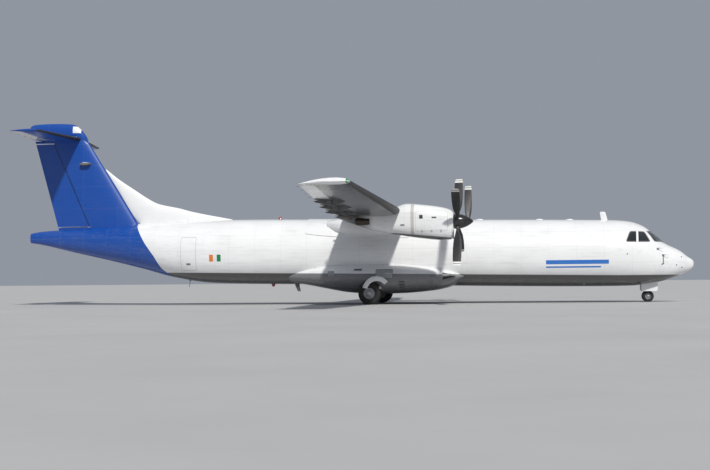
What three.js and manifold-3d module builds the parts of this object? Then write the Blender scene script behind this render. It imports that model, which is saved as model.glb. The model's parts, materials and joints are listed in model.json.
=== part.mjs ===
// Twin turboprop freighter with a high wing and a T-tail, standing on its gear.
// Millimetres. +X points to the nose, +Y to port, +Z up, and the tyres stand on Z = 0.
// Places along the body are stations: the distance behind the nose tip.
import * as THREE from "three";
import { ConvexGeometry } from "three/addons/geometries/ConvexGeometry.js";
import { mergeVertices } from "three/addons/utils/BufferGeometryUtils.js";
import Module from "manifold-3d";

const wasm = await Module();
wasm.setup();

// Driving dimensions
const LENGTH = 27166;
const SEAM = 0.3; // gap between pieces that touch
const RUNNING_GAP = 8; // gap round doors and control surfaces

// Body: station, half width, top, bottom, height of the widest line
const BODY_SECTIONS = [
  [0, 60, 1560, 1440, 1500],
  [160, 260, 1720, 1230, 1490],
  [500, 520, 1985, 1065, 1510],
  [1200, 905, 2360, 815, 1570],
  [1560, 1045, 2700, 745, 1640],
  [1950, 1175, 3000, 680, 1720],
  [2450, 1295, 3175, 640, 1790],
  [3000, 1385, 3235, 632, 1815],
  [3600, 1432, 3255, 630, 1823],
  [10400, 1432, 3365, 715, 1933],
  [14300, 1432, 3430, 790, 1998],
  [18200, 1432, 3480, 850, 2048],
  [19400, 1395, 3480, 900, 2100],
  [20900, 1250, 3445, 1130, 2230],
  [22200, 1050, 3390, 1480, 2420],
  [23700, 770, 3290, 1855, 2590],
  [25300, 460, 3190, 2225, 2720],
  [26700, 230, 3110, 2550, 2830],
  [LENGTH, 130, 3035, 2630, 2835],
];
const BODY_SIDES = 32;
const BELLY_POWER = 2.4; // a little squarer than an ellipse
const BODY_ROOM = { half: 2500, top: 5000 }; // a box round the body's sections
const WALL = 140;
const FLOOR_AT_START = 1130;
const FLOOR_SLOPE = 0.0155;
const HOLD = { from: 3300, to: 20600 };
const SPLITS = { radome: 950, cockpit: 3200, forward: 9600, centre: 14900, aft: 20900, tail: 25400 };

// Doors: stations, height over the floor, and which side they are on (+1 is port)
const CARGO_DOOR = { from: 3900, to: 6840, height: 1800, side: 1 };
// The passenger door's head slopes down inwards by deepTop so that it swings clear.
const PASSENGER_DOOR = { from: 19620, to: 20440, height: 1660, side: 1, deepTop: 110 };
const SERVICE_DOOR = { from: 19690, to: 20380, height: 1380, side: -1 };
const DOOR_REACH = 700; // how far a door's space runs in and out from the skin
const HINGE_STANDOFF = 6;
const DOOR_KNUCKLE = 12;

// Glass panes: an outline through which the glass shows, across (y, z) or along the side (station, z).
const WINDSCREEN = {
  outline: [[55, 2365], [770, 2355], [590, 2750], [55, 2785]],
  middle: [380, 2560],
  depth: [1000, 2150],
};
const SIDE_WINDOW = {
  outline: [[1730, 2350], [2680, 2350], [2500, 2755], [1940, 2740]],
  middle: [2200, 2560],
  depth: [500, 1600],
};
const PANE_DEPTH = 40;
const PANE_SET_IN = 4; // the glass lies this far inside the skin

// Wing: span place, leading edge station, chord, height of the chord's front, thickness ratio
const WING_ROOT = { y: 4900, le: 11120, chord: 2570, z: 3520, t: 0.18 };
const WING_TIP = { y: 13450, le: 11740, chord: 1590, z: 3950, t: 0.13 };
const WING_CAP = { y: 13525, le: 11860, chord: 1300, z: 3954, t: 0.06 };
const INCIDENCE = Math.tan((2 * Math.PI) / 180);
const CAMBER = 0.025;
const FLAP_LINE = 0.715;
const FLAP_SETBACK = 12;
const FLAP_DROP = 255; // the flap turns about points this far under the wing's middle line
// Flap pod: share of the chord, and height over the wing's middle line
const POD_OUTLINE = [
  [0.44, -40],
  [0.5, -150],
  [0.64, 25 - FLAP_DROP],
  [FLAP_LINE, -6 - FLAP_DROP],
  [0.84, 70 - FLAP_DROP],
  [0.98, -95],
  [1.04, -36],
  [0.93, -8],
  [FLAP_LINE, 0],
];
const AILERON_LINE = 0.74;
const INNER_FLAP = { from: 1620, to: 3480 };
const OUTER_FLAP = { from: 4960, to: 9600 };
const AILERON = { from: 9660, to: 13100 };
const NOSE_OVERRUN = 120; // control surface noses are made this much too long and then trimmed
const NOSE_SIDES = 16;
const PIN_RADIUS = 14;
const PIN_SIDES = 8;
// How far behind their hinge lines the cuts reach
const FLAP_REACH = 1200;
const SURFACE_REACH = 1000;
const RUDDER_REACH = 1600;
const RUDDER_END_GAP = 45; // the level ends rise and sink as the rudder turns on its leaning hinge line
const POD_WIDTH = 90;
const BOSS_RADIUS = 20;
const BOSS_SIDES = 12;
const OUTER_PODS = [5750, 7450, 9150];
const INNER_PODS = [2150, 3050];

// Tail
const TAILPLANE_ROOT = { y: 0, le: 24940, chord: 2080, z: 6970, t: 0.12 };
const TAILPLANE_TIP = { y: 3600, le: 25420, chord: 1220, z: 6970, t: 0.1 };
const TAILPLANE_CAP = { y: 3655, le: 25520, chord: 1040, z: 6970, t: 0.04 };
const ELEVATOR_LINE = 0.64;
const ELEVATOR = { from: 470, to: 3560 };
const FIN_FOOT = { z: 3050, le: 22320, chord: 3610, t: 0.115 };
const FIN_HEAD = { z: 6915, le: 24700, chord: 2285, t: 0.12 };
const RUDDER_FOOT = { station: 24560, z: 3255 };
const RUDDER_HEAD = { station: 26147, z: 6820 };
// Dorsal fillet: station, half width, top, bottom
const FILLET_SECTIONS = [
  [18500, 60, 3500, 3250],
  [20300, 110, 3870, 3250],
  [20700, 125, 3985, 3250],
  [21660, 140, 4200, 3250],
  [22200, 130, 4490, 3250],
  [22640, 110, 4780, 3560],
  [23330, 70, 5240, 4680],
  [23900, 30, 5690, 5590],
];
// Fairing on the fin's head: station, half width, top, bottom
const HEAD_SECTIONS = [
  [24690, 45, 6990, 6830],
  [24840, 110, 7220, 6830],
  [25000, 150, 7400, 6850],
  [25180, 185, 7550, 6880],
  [25400, 200, 7615, 6900],
  [26200, 210, 7650, 6900],
  [27000, 160, 7625, 6980],
  [LENGTH, 90, 7560, 7150],
];

// Wing to body fairing: station, half width, top, bottom
const ROOT_FAIRING_SECTIONS = [
  [10150, 900, 3420, 3000],
  [10600, 1350, 3560, 2720],
  [11150, 1490, 3700, 2620],
  [12300, 1500, 3760, 2620],
  [13350, 1490, 3640, 2640],
  [13900, 1330, 3470, 2760],
  [14400, 950, 3380, 2960],
];
// A collar round the body's top spreads the wing's load: station, height of its lower edge
const COLLAR_EDGE = [
  [10600, 2900],
  [11150, 2620],
  [13300, 2630],
  [14700, 2750],
  [15230, 2830],
  [15270, 2900],
];
const COLLAR_PROUD = 25;

// Power plants
const ENGINE_Y = 4050;
const NACELLE_SECTIONS = [
  [9170, 330, 3440, 2600],
  [9250, 395, 3525, 2440],
  [9600, 475, 3640, 2420],
  [10250, 520, 3735, 2480],
  [10900, 530, 3790, 2570],
  [11400, 520, 3640, 2655],
  [12130, 470, 3560, 2800],
  [12850, 380, 3480, 3030],
  [13450, 230, 3420, 3250],
];
const ENGINE = { from: 9400, to: 11060, half: 270, bottom: 2700, top: 3400, clearance: 30 };
const INTAKE = { from: 9000, to: 9750, half: 270, bottom: 2475, top: 2760 };
const EXHAUST = { from: 12250, to: 12750, offset: 385, z: 3130, radius: 130 };
const EXHAUST_BORE = { from: 12500, to: 12800, radius: 105 };
const PROP = { station: 9000, z: 3103, radius: 1980, hub: 210, root: 62, depth: 150 };
const SPINNER_TIP = 8420;
const SPINNER_BACK = 9150;
const SPINNER_RADIUS = 275;
const SPINNER_RIM = 120; // length of its straight rim
const SPINNER_POINT = 1.25; // more than 1 makes its nose more pointed
const SPINNER_SIDES = 20;
const SPINNER_STEPS = 6;
const HUB_FRONT = 120;
const SHAFT_RADIUS = 60;
const SHAFT_ROOM = 15;
const SHAFT_SUNK = 10; // how far the shaft reaches into the engine block
// Blade: distance from the axis, chord, thickness, twist in degrees
const BLADE_SECTIONS = [
  [150, 116, 116, 0],
  [420, 116, 116, 0],
  [560, 190, 78, 18],
  [800, 290, 50, 12],
  [1200, 325, 34, 6],
  [1600, 320, 22, 1],
  [1850, 300, 15, -2],
  [1950, 280, 11, -3],
  [PROP.radius, 236, 8, -3],
];
const BLADE_COUNT = 4;
const BLADE_SIDES = 8;
const BLADE_HOLES = { from: 100, to: 430, room: 1, sides: 10 };
const PROP_ANGLE = { left: 14, right: 33.6 }; // degrees from upright towards +Y

// Main gear
const MAIN = { station: 12557, y: 2050, radius: 432, width: 250, pitch: 420, rim: 215, axle: 45, sides: 20 };
// Gear fairing: station, half width, top, bottom
const GEAR_FAIRING_SECTIONS = [
  [8960, 1290, 1130, 1010],
  [9400, 1560, 1350, 710],
  [10250, 1850, 1545, 510],
  [11580, 2060, 1660, 410],
  [12560, 2085, 1670, 395],
  [13600, 2020, 1660, 465],
  [14500, 1780, 1610, 620],
  [15280, 1400, 1520, 770],
  [15950, 1080, 1440, 880],
];
const WELL_SIDES = 32;
const WELL = { radius: 520, inner: 1600, outer: 2700 };
// Main leg: half sizes of its head block, and rods as [station and height of each end from the axle, radii]
const LEG_HEAD = { half: 150, side: 75, below: 60, above: 60 };
const LEG_RODS = [
  { from: [0, 0], to: [0, WELL.radius - 40], radii: [60, 72] },
  { from: [0, 20], to: [-430, 250], radii: [48, 60] },
  { from: [30, 60], to: [300, WELL.radius - 170], radii: [34, 34] },
];
const AXLE_REACH = 0.2; // share of a tyre's width that the axle runs into its wheel
// Nose gear
const NOSE = { station: 1787, radius: 225, width: 190, pitch: 300, rim: 115, axle: 28, sides: 16 };
const NOSE_WELL = { from: 1380, to: 2110, half: 290, bottom: 400, top: 980 };
const STRUT = { split: 640, radius: 62, piston: 40, collar: 90 };
const DRAG_STAY = { rise: 120, ahead: 40, drop: 60, radius: 26 };
const NOSE_DOOR = { from: 1420, to: 2050, y: 330, bottom: 425, top: 800, thickness: 18, bevel: [60, 40] };

// Colours from the finish of each piece
const WHITE = [0xf2f3f5, 0.3, 0.0];
const BLUE = [0x1553b5, 0.3, 0.0];
const BLACK = [0x17181a, 0.45, 0.0];
const GLASS = [0x0b0e12, 0.08, 0.2];
const TYRE = [0x1d1d1e, 0.85, 0.0];
const METAL = [0x9da1a6, 0.4, 0.7];
const ENGINE_GREY = [0x6c6f73, 0.5, 0.6];

const X = (station) => LENGTH / 2 - station;
const Y_AXIS = new THREE.Vector3(0, 1, 0);
const at = (station, y, z) => new THREE.Vector3(X(station), y, z);

// Solids and their joins

function solid(geometry) {
  const loose = geometry.index ? geometry.toNonIndexed() : geometry.clone();
  const bare = new THREE.BufferGeometry().setAttribute("position", loose.getAttribute("position"));
  const merged = mergeVertices(bare, 1e-3);
  const mesh = { numProp: 3, vertProperties: merged.attributes.position.array };
  let made = new wasm.Manifold(new wasm.Mesh({ ...mesh, triVerts: new Uint32Array(merged.index.array) }));
  if (made.volume() < 0) {
    const turned = new Uint32Array(merged.index.array);
    for (let i = 0; i < turned.length; i += 3) {
      [turned[i + 1], turned[i + 2]] = [turned[i + 2], turned[i + 1]];
    }
    made = new wasm.Manifold(new wasm.Mesh({ ...mesh, triVerts: turned }));
  }
  return made;
}

function joined(...solids) {
  return solids.reduce((sum, next) => sum.add(next));
}

function largest(made) {
  return made.decompose().reduce((best, next) => (next.volume() > best.volume() ? next : best));
}

function geometryOf(made) {
  const mesh = made.getMesh();
  const positions = new Float32Array(mesh.numVert * 3);
  for (let i = 0; i < mesh.numVert; i++) {
    for (let k = 0; k < 3; k++) positions[3 * i + k] = mesh.vertProperties[mesh.numProp * i + k];
  }
  const geometry = new THREE.BufferGeometry();
  geometry.setAttribute("position", new THREE.BufferAttribute(positions, 3));
  geometry.setIndex(new THREE.BufferAttribute(new Uint32Array(mesh.triVerts), 1));
  return geometry;
}

// A skin over rings with the same number of points, closed by a fan at each end.
function loft(rings) {
  const count = rings[0].length;
  const points = rings.flat().map((p) => new THREE.Vector3(...p));
  const index = [];
  for (let i = 0; i + 1 < rings.length; i++) {
    for (let k = 0; k < count; k++) {
      const a = i * count + k;
      const b = i * count + ((k + 1) % count);
      index.push(a, b, a + count, b, b + count, a + count);
    }
  }
  for (const [ring, turn] of [[0, 1], [rings.length - 1, -1]]) {
    const first = ring * count;
    const middle = new THREE.Vector3();
    for (let k = 0; k < count; k++) middle.addScaledVector(points[first + k], 1 / count);
    points.push(middle);
    for (let k = 0; k < count; k++) {
      const pair = [first + k, first + ((k + 1) % count)];
      index.push(points.length - 1, ...(turn > 0 ? pair.reverse() : pair));
    }
  }
  const geometry = new THREE.BufferGeometry().setFromPoints(points);
  geometry.setIndex(index);
  return solid(geometry);
}

function hull(corners) {
  return solid(new ConvexGeometry(corners));
}

function block(from, to, y0, y1, z0, z1) {
  const geometry = new THREE.BoxGeometry(to - from, y1 - y0, z1 - z0);
  return solid(geometry.translate(X((from + to) / 2), (y0 + y1) / 2, (z0 + z1) / 2));
}

function rod(start, end, radius, endRadius = radius, sides = 20) {
  const length = start.distanceTo(end);
  const geometry = new THREE.CylinderGeometry(endRadius, radius, length, sides);
  const turn = new THREE.Quaternion().setFromUnitVectors(Y_AXIS, end.clone().sub(start).normalize());
  const middle = start.clone().lerp(end, 0.5);
  return solid(geometry.applyQuaternion(turn).translate(middle.x, middle.y, middle.z));
}

// A turned piece whose profile is [radius, distance along the axis], standing at `centre` along `axis`.
function turned(profile, centre, axis, sides = 28) {
  const points = profile.map(([radius, along]) => new THREE.Vector2(radius, along));
  const geometry = new THREE.LatheGeometry(points, sides);
  const turn = new THREE.Quaternion().setFromUnitVectors(Y_AXIS, axis);
  return solid(geometry.applyQuaternion(turn).translate(centre.x, centre.y, centre.z));
}

// A flat outline of [station, z] points, drawn out across the body from y0 to y1.
function plate(outline, y0, y1) {
  const shape = new THREE.Shape(outline.map(([station, z]) => new THREE.Vector2(X(station), z)));
  const geometry = new THREE.ExtrudeGeometry(shape, { depth: y1 - y0, bevelEnabled: false });
  return solid(geometry.rotateX(Math.PI / 2).translate(0, y1, 0));
}

// Rounded sections

function roundRing(station, y, half, top, bottom, middle, powers, sides) {
  const ring = [];
  for (let k = 0; k < sides; k++) {
    const angle = (2 * Math.PI * k) / sides;
    const [c, s] = [Math.cos(angle), Math.sin(angle)];
    const power = 2 / (s >= 0 ? powers[0] : powers[1]);
    const across = Math.sign(c) * Math.abs(c) ** power * half;
    const up = Math.sign(s) * Math.abs(s) ** power * (s >= 0 ? top - middle : middle - bottom);
    ring.push([X(station), y + across, middle + up]);
  }
  return ring;
}

function bodyAt(station) {
  const last = BODY_SECTIONS.length - 1;
  const next = Math.min(last, Math.max(1, BODY_SECTIONS.findIndex((row) => row[0] >= station)));
  const [a, b] = [BODY_SECTIONS[next - 1], BODY_SECTIONS[next]];
  const share = (station - a[0]) / (b[0] - a[0]);
  return a.map((value, i) => value + share * (b[i] - value));
}

function bodyRing([station, half, top, bottom, middle], inset = 0) {
  const powers = [2, BELLY_POWER];
  return roundRing(station, 0, half - inset, top - inset, bottom + inset, middle, powers, BODY_SIDES);
}

function bodySkin(inset = 0) {
  return loft(BODY_SECTIONS.map((row) => bodyRing(row, Math.min(inset, 0.6 * row[1]))));
}

const floorAt = (station) => FLOOR_AT_START + FLOOR_SLOPE * (station - HOLD.from);

// Where the body's faceted side lies at a station and height, on the port side.
function sideAt(station, z) {
  const port = bodyRing(bodyAt(station)).filter(([, y]) => y > 1).sort((a, b) => a[2] - b[2]);
  const above = port.findIndex((point) => point[2] > z);
  const [a, b] = [port[above - 1], port[above]];
  return a[1] + ((z - a[2]) / (b[2] - a[2])) * (b[1] - a[1]);
}

function holdSpace() {
  const inner = BODY_SECTIONS.filter((row) => row[0] > HOLD.from && row[0] < HOLD.to);
  const rows = [bodyAt(HOLD.from), ...inner, bodyAt(HOLD.to)];
  const overFloor = (row) => ([x, y, z]) => [x, y, Math.max(z, floorAt(row[0]))];
  return loft(rows.map((row) => bodyRing(row, WALL).map(overFloor(row))));
}

// Lifting surfaces

function airfoil(row, grow = 0) {
  const { y, z, t } = row;
  const [le, chord] = [row.le - grow, row.chord + 2 * grow];
  const share = [1, 0.86, 0.72, 0.5, 0.3, 0.15, 0.05, 0.012];
  const half = (x) => (t / 0.2) * row.chord * (0.2969 * Math.sqrt(x) - 0.126 * x - 0.3516 * x * x
    + 0.2843 * x ** 3 - 0.1036 * x ** 4) + grow;
  const upper = share.map((x) => [x, x === 1 ? grow + 2 : half(x)]);
  const lower = share.map((x) => [x, x === 1 ? -grow - 2 : -half(x)]).reverse();
  return [...upper, [0, 0], ...lower].map(([x, up]) => [X(le + x * chord), y, z + up + middleDrop(row, x)]);
}

// The middle line's height over the chord's front.
function middleDrop(row, x) {
  return row.flat ? 0 : -x * row.chord * INCIDENCE + 4 * CAMBER * row.chord * x * (1 - x);
}

function between(root, tip, y) {
  const share = (y - root.y) / (tip.y - root.y);
  const mix = (key) => root[key] + share * (tip[key] - root[key]);
  return { y, le: mix("le"), chord: mix("chord"), z: mix("z"), t: mix("t"), flat: root.flat };
}

const mirrored = (row, side) => ({ ...row, y: side * row.y });

function linePoint(row, x, side) {
  return at(row.le + x * row.chord, side * row.y, row.z + middleDrop(row, x));
}

// The space behind a hinge line: `aft` and `normal` are directions, `setback` moves its front edge aft,
// and `ends` are the gaps at its start and end.
function behind(line, { aft, normal, reach, height, setback = 0, ends = [0, 0] }) {
  const along = line.to.clone().sub(line.from).normalize();
  const corners = [];
  for (const [end, pull] of [[line.from, ends[0]], [line.to, -ends[1]]]) {
    for (const distance of [setback, reach]) {
      for (const up of [-height, height]) {
        corners.push(end.clone().addScaledVector(along, pull).addScaledVector(aft, distance)
          .addScaledVector(normal, up));
      }
    }
  }
  return hull(corners);
}

// Directions for `behind` whose end planes are square to the hinge line, so that what turns keeps its gap.
function squareTo(line) {
  const along = line.to.clone().sub(line.from).normalize();
  const aft = new THREE.Vector3(-1, 0, 0);
  aft.addScaledVector(along, -aft.dot(along)).normalize();
  return { aft, normal: aft.clone().cross(along) };
}

// A pin on the hinge line, from one end of the cut to the other, whose rim just clears the end planes.
function hingePin(line, { aft, normal }) {
  const along = line.to.clone().sub(line.from).normalize();
  const cosine = Math.abs(along.dot(aft.clone().cross(normal)));
  along.multiplyScalar(SEAM + (PIN_RADIUS * Math.sqrt(Math.max(0, 1 - cosine * cosine))) / cosine);
  return rod(line.from.clone().add(along), line.to.clone().sub(along), PIN_RADIUS, PIN_RADIUS, PIN_SIDES);
}

// Cuts a round-nosed control surface out of `whole` about its hinge line.
function controlSurface(whole, line, radii, box) {
  const along = line.to.clone().sub(line.from).normalize().multiplyScalar(NOSE_OVERRUN);
  const [start, end] = [line.from.clone().sub(along), line.to.clone().add(along)];
  const wide = radii.map((radius) => (radius + RUNNING_GAP) / Math.cos(Math.PI / NOSE_SIDES));
  const gaps = { ends: [RUNNING_GAP, RUNNING_GAP], ...box };
  const slab = { ...box, ends: [0, 0], setback: -2 * NOSE_OVERRUN };
  const nose = rod(start, end, radii[0], radii[1], NOSE_SIDES)
    .intersect(behind(line, { ...gaps, setback: slab.setback }));
  const socket = rod(start, end, wide[0], wide[1], NOSE_SIDES).intersect(behind(line, slab));
  const surface = whole.intersect(behind(line, gaps));
  return {
    fixed: largest(whole.subtract(behind(line, { ...box, ends: [0, 0] })).subtract(socket)),
    moving: largest(joined(surface, nose, hingePin(line, box))),
  };
}

function airfoilHalf(row, x) {
  const ring = airfoil({ ...row, flat: true });
  const station = X(row.le + x * row.chord);
  const after = ring.findIndex((p) => p[0] > station);
  const [a, b] = [ring[after - 1], ring[after]];
  return a[2] + ((station - a[0]) / (b[0] - a[0])) * (b[2] - a[2]) - row.z;
}

// Flap hinge pods under the wing, which the flap line cuts into a fixed and a moving half.
function pod(row, side) {
  const outline = POD_OUTLINE.map(([x, up]) => [row.le + x * row.chord, row.z + middleDrop(row, x) + up]);
  return plate(outline, side * row.y - POD_WIDTH / 2, side * row.y + POD_WIDTH / 2);
}

// Round bosses on the hinge line join the two halves of each pod.
function podBosses(hinge, places, radius, half) {
  const along = hinge.to.clone().sub(hinge.from).normalize();
  return places.map((y) => {
    const centre = hinge.from.clone().addScaledVector(along, (y - hinge.from.y) / along.y);
    const [start, end] = [-half, half].map((shift) => centre.clone().addScaledVector(along, shift));
    return rod(start, end, radius, radius, BOSS_SIDES);
  });
}

function flapCut(whole, root, tip, span, side, places) {
  const [inboard, outboard] = [between(root, tip, span.from), between(root, tip, span.to)];
  const line = { from: linePoint(inboard, FLAP_LINE, side), to: linePoint(outboard, FLAP_LINE, side) };
  const box = { ...squareTo(line), reach: FLAP_REACH, height: FLAP_REACH / 2 };
  const drop = new THREE.Vector3(0, 0, -FLAP_DROP);
  const hinge = { from: line.from.clone().add(drop), to: line.to.clone().add(drop) };
  const podPlaces = places.map((y) => side * y);
  const bosses = podBosses(hinge, podPlaces, BOSS_RADIUS, POD_WIDTH / 2 - 5);
  const room = (BOSS_RADIUS + SEAM) / Math.cos(Math.PI / BOSS_SIDES);
  const sockets = podBosses(hinge, podPlaces, room, POD_WIDTH);
  const gaps = { ...box, setback: FLAP_SETBACK, ends: [RUNNING_GAP, RUNNING_GAP] };
  const flap = whole.intersect(behind(line, gaps));
  return {
    fixed: largest(whole.subtract(joined(behind(line, box), ...sockets))),
    moving: largest(joined(flap, ...bosses)),
    hinge,
  };
}

function outerWing(side) {
  const rows = [{ ...WING_ROOT, y: WING_ROOT.y + SEAM }, WING_TIP, WING_CAP];
  const skin = loft(rows.map((row) => airfoil(mirrored(row, side))));
  const pods = OUTER_PODS.map((y) => pod(between(WING_ROOT, WING_TIP, y), side));
  const flap = flapCut(joined(skin, ...pods), WING_ROOT, WING_TIP, OUTER_FLAP, side, OUTER_PODS);
  const ends = [between(WING_ROOT, WING_TIP, AILERON.from), between(WING_ROOT, WING_TIP, AILERON.to)];
  const line = { from: linePoint(ends[0], AILERON_LINE, side), to: linePoint(ends[1], AILERON_LINE, side) };
  const radii = ends.map((row) => airfoilHalf(row, AILERON_LINE) - 1);
  const box = { ...squareTo(line), reach: SURFACE_REACH, height: SURFACE_REACH / 3 };
  const aileron = controlSurface(flap.fixed, line, radii, box);
  return { fixed: aileron.fixed, flap, aileron: { moving: aileron.moving, hinge: line } };
}

function centreWing(grow = 0) {
  const end = WING_ROOT.y;
  return loft([-end, end].map((y) => airfoil({ ...WING_ROOT, y }, grow)));
}

function centreWingPieces() {
  const flat = { root: { ...WING_ROOT, y: 0 }, tip: WING_ROOT };
  const pods = [1, -1].flatMap((side) => INNER_PODS.map((y) => pod({ ...WING_ROOT, y }, side)));
  const whole = joined(centreWing(), ...pods);
  const port = flapCut(whole, flat.root, flat.tip, INNER_FLAP, 1, INNER_PODS);
  const starboard = flapCut(port.fixed, flat.root, flat.tip, INNER_FLAP, -1, INNER_PODS);
  return { fixed: starboard.fixed, flaps: { left: port, right: starboard } };
}

// Tail pieces

function tailplaneSkin(grow = 0) {
  const flat = (row) => ({ ...row, flat: true });
  const port = [TAILPLANE_ROOT, TAILPLANE_TIP, TAILPLANE_CAP].map(flat);
  const rows = [...port.slice(1).reverse().map((row) => mirrored(row, -1)), ...port];
  return loft(rows.map((row) => airfoil(row, grow)));
}

function tailplanePieces() {
  const root = { ...TAILPLANE_ROOT, flat: true };
  const tip = { ...TAILPLANE_TIP, flat: true };
  const ends = [between(root, tip, ELEVATOR.from), between(root, tip, ELEVATOR.to)];
  const radii = ends.map((row) => airfoilHalf(row, ELEVATOR_LINE) - 1);
  const pieces = { fixed: tailplaneSkin(), elevators: {} };
  for (const [name, side] of [["left", 1], ["right", -1]]) {
    const [from, to] = ends.map((row) => linePoint(row, ELEVATOR_LINE, side));
    const line = { from, to };
    const box = { ...squareTo(line), reach: SURFACE_REACH, height: SURFACE_REACH / 3 };
    const cut = controlSurface(pieces.fixed, line, radii, box);
    pieces.fixed = cut.fixed;
    pieces.elevators[name] = { moving: cut.moving, hinge: line };
  }
  return pieces;
}

// A fin section is an airfoil laid on its side.
function finSkin(grow = 0) {
  const upright = ([x, height, across]) => [x, across, height];
  const section = (row) => airfoil({ ...row, y: row.z, z: 0, flat: true }, grow).map(upright);
  return loft([FIN_FOOT, FIN_HEAD].map(section));
}

function plainLoft(sections, { y = 0, power = 2, sides = 20, grow = 0, lift = 0.5 }) {
  return loft(sections.map(([station, half, top, bottom]) => {
    const middle = bottom + lift * (top - bottom);
    return roundRing(station, y, half + grow, top + grow, bottom - grow, middle, [power, power], sides);
  }));
}

function finPieces() {
  const bodyCut = bodySkin(-SEAM);
  const [from, to] = [RUDDER_FOOT, RUDDER_HEAD].map(({ station, z }) => at(station, 0, z));
  const line = { from, to };
  const rows = [FIN_FOOT, FIN_HEAD].map((row) => ({ ...row, y: row.z, z: 0, flat: true }));
  const radii = [RUDDER_FOOT, RUDDER_HEAD].map(({ station, z }) => {
    const row = between(rows[0], rows[1], z);
    return airfoilHalf(row, (station - row.le) / row.chord) - 1;
  });
  const level = { aft: new THREE.Vector3(-1, 0, 0), normal: new THREE.Vector3(0, 1, 0) };
  const gaps = [RUDDER_END_GAP, RUDDER_END_GAP];
  const box = { ...level, reach: RUDDER_REACH, height: RUDDER_REACH / 4, ends: gaps };
  const cut = controlSurface(finSkin(), line, radii, box);
  const fillet = plainLoft(FILLET_SECTIONS, { sides: 16 });
  const fixed = joined(cut.fixed, fillet).subtract(bodyCut).subtract(tailplaneSkin(SEAM));
  return { fixed: largest(fixed), rudder: { moving: cut.moving, hinge: line } };
}

// Body pieces

function bodySlice(skin, from, to) {
  const { half, top } = BODY_ROOM;
  return skin.intersect(block(from + SEAM / 2, to - SEAM / 2, -half, half, 0, top));
}

// Corners of a door's space. The door's frame runs along its hinge line and square to the skin there.
function doorSpace(door, inset, deepTop = 0) {
  const ends = [door.from + inset, door.to - inset];
  const bottoms = ends.map((station) => floorAt(station) + inset);
  const span = ends.map((station, i) => ({ station, y: sideAt(station, bottoms[i]) }));
  const run = new THREE.Vector2(X(span[1].station) - X(span[0].station), span[1].y - span[0].y).normalize();
  const out = new THREE.Vector2(-run.y, run.x).multiplyScalar(run.x < 0 ? -1 : 1);
  const corners = [];
  span.forEach(({ station, y }, i) => {
    for (const [distance, drop] of [[-DOOR_REACH, deepTop], [DOOR_REACH, 0]]) {
      for (const z of [bottoms[i], floorAt(station) + door.height - inset - drop]) {
        corners.push(new THREE.Vector3(X(station) + distance * out.x, door.side * (y + distance * out.y), z));
      }
    }
  });
  return hull(corners);
}

// A door turns about a corner of its frame, a little outside the skin.
function doorHinge(door, height) {
  const corner = (station) => {
    const z = floorAt(station) + height;
    return at(station, door.side * (sideAt(station, z) + HINGE_STANDOFF), z);
  };
  return { from: corner(door.from), to: corner(door.to) };
}

// The door with its hinge knuckle, and what the knuckle takes out of the frame.
function hingedDoor(door, skin, hold, height, deepTop = 0) {
  const panel = skin.intersect(doorSpace(door, RUNNING_GAP, deepTop)).subtract(hold);
  const hinge = doorHinge(door, height);
  const along = hinge.to.clone().sub(hinge.from).normalize().multiplyScalar(RUNNING_GAP);
  const ends = [hinge.from.clone().add(along), hinge.to.clone().sub(along)];
  const knuckle = rod(...ends, DOOR_KNUCKLE, DOOR_KNUCKLE, BOSS_SIDES);
  const room = (DOOR_KNUCKLE + SEAM) / Math.cos(Math.PI / BOSS_SIDES);
  const socket = rod(hinge.from, hinge.to, room, room, BOSS_SIDES);
  const space = joined(doorSpace(door, 0, deepTop), socket);
  return { panel: largest(joined(panel, knuckle)), space, hinge };
}

// Corners of a pane's outline, grown away from its middle.
function grown({ outline, middle }, grow) {
  return outline.map((point) => point.map((value, k) => value + Math.sign(value - middle[k]) * grow));
}

function windscreenSpace(side, grow) {
  const corners = grown(WINDSCREEN, grow);
  return hull(corners.flatMap(([y, z]) => WINDSCREEN.depth.map((station) => at(station, side * y, z))));
}

function sideWindowSpace(side, grow) {
  const corners = grown(SIDE_WINDOW, grow);
  return hull(corners.flatMap(([station, z]) => SIDE_WINDOW.depth.map((y) => at(station, side * y, z))));
}

function cockpitPieces(skin) {
  const inner = bodySkin(PANE_DEPTH);
  const seat = bodySkin(PANE_DEPTH + SEAM);
  const glassFace = bodySkin(PANE_SET_IN);
  const panes = {};
  let shellPiece = bodySlice(skin, SPLITS.radome, SPLITS.cockpit);
  for (const [name, side] of [["left", 1], ["right", -1]]) {
    for (const [kind, space] of [["windscreen", windscreenSpace], ["side_windows", sideWindowSpace]]) {
      panes[kind + "_" + name] = largest(glassFace.intersect(space(side, 0)).subtract(inner));
      shellPiece = shellPiece.subtract(space(side, SEAM).subtract(seat));
    }
  }
  const { from, to, half, bottom, top } = NOSE_WELL;
  const well = block(from, to, -half, half, bottom, top);
  return { shellPiece: largest(shellPiece.subtract(well)), panes };
}

// Power plants

function nacelleSkin(y, grow = 0) {
  return plainLoft(NACELLE_SECTIONS, { y, power: 2.7, sides: 24, grow });
}

function engineBlock(y) {
  const { from, to, half, bottom, top } = ENGINE;
  const body = block(from, to, y - half, y + half, bottom, top);
  const front = PROP.station + PROP.depth + SEAM;
  const shaft = rod(at(from + SHAFT_SUNK, y, PROP.z), at(front, y, PROP.z), SHAFT_RADIUS);
  return joined(body, shaft);
}

function exhaustPipe(y, side) {
  const tube = ({ from, to, radius }) => {
    const [start, end] = [from, to].map((station) => at(station, y + side * EXHAUST.offset, EXHAUST.z));
    return rod(start, end, radius);
  };
  return { outer: tube(EXHAUST), bore: tube(EXHAUST_BORE) };
}

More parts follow.
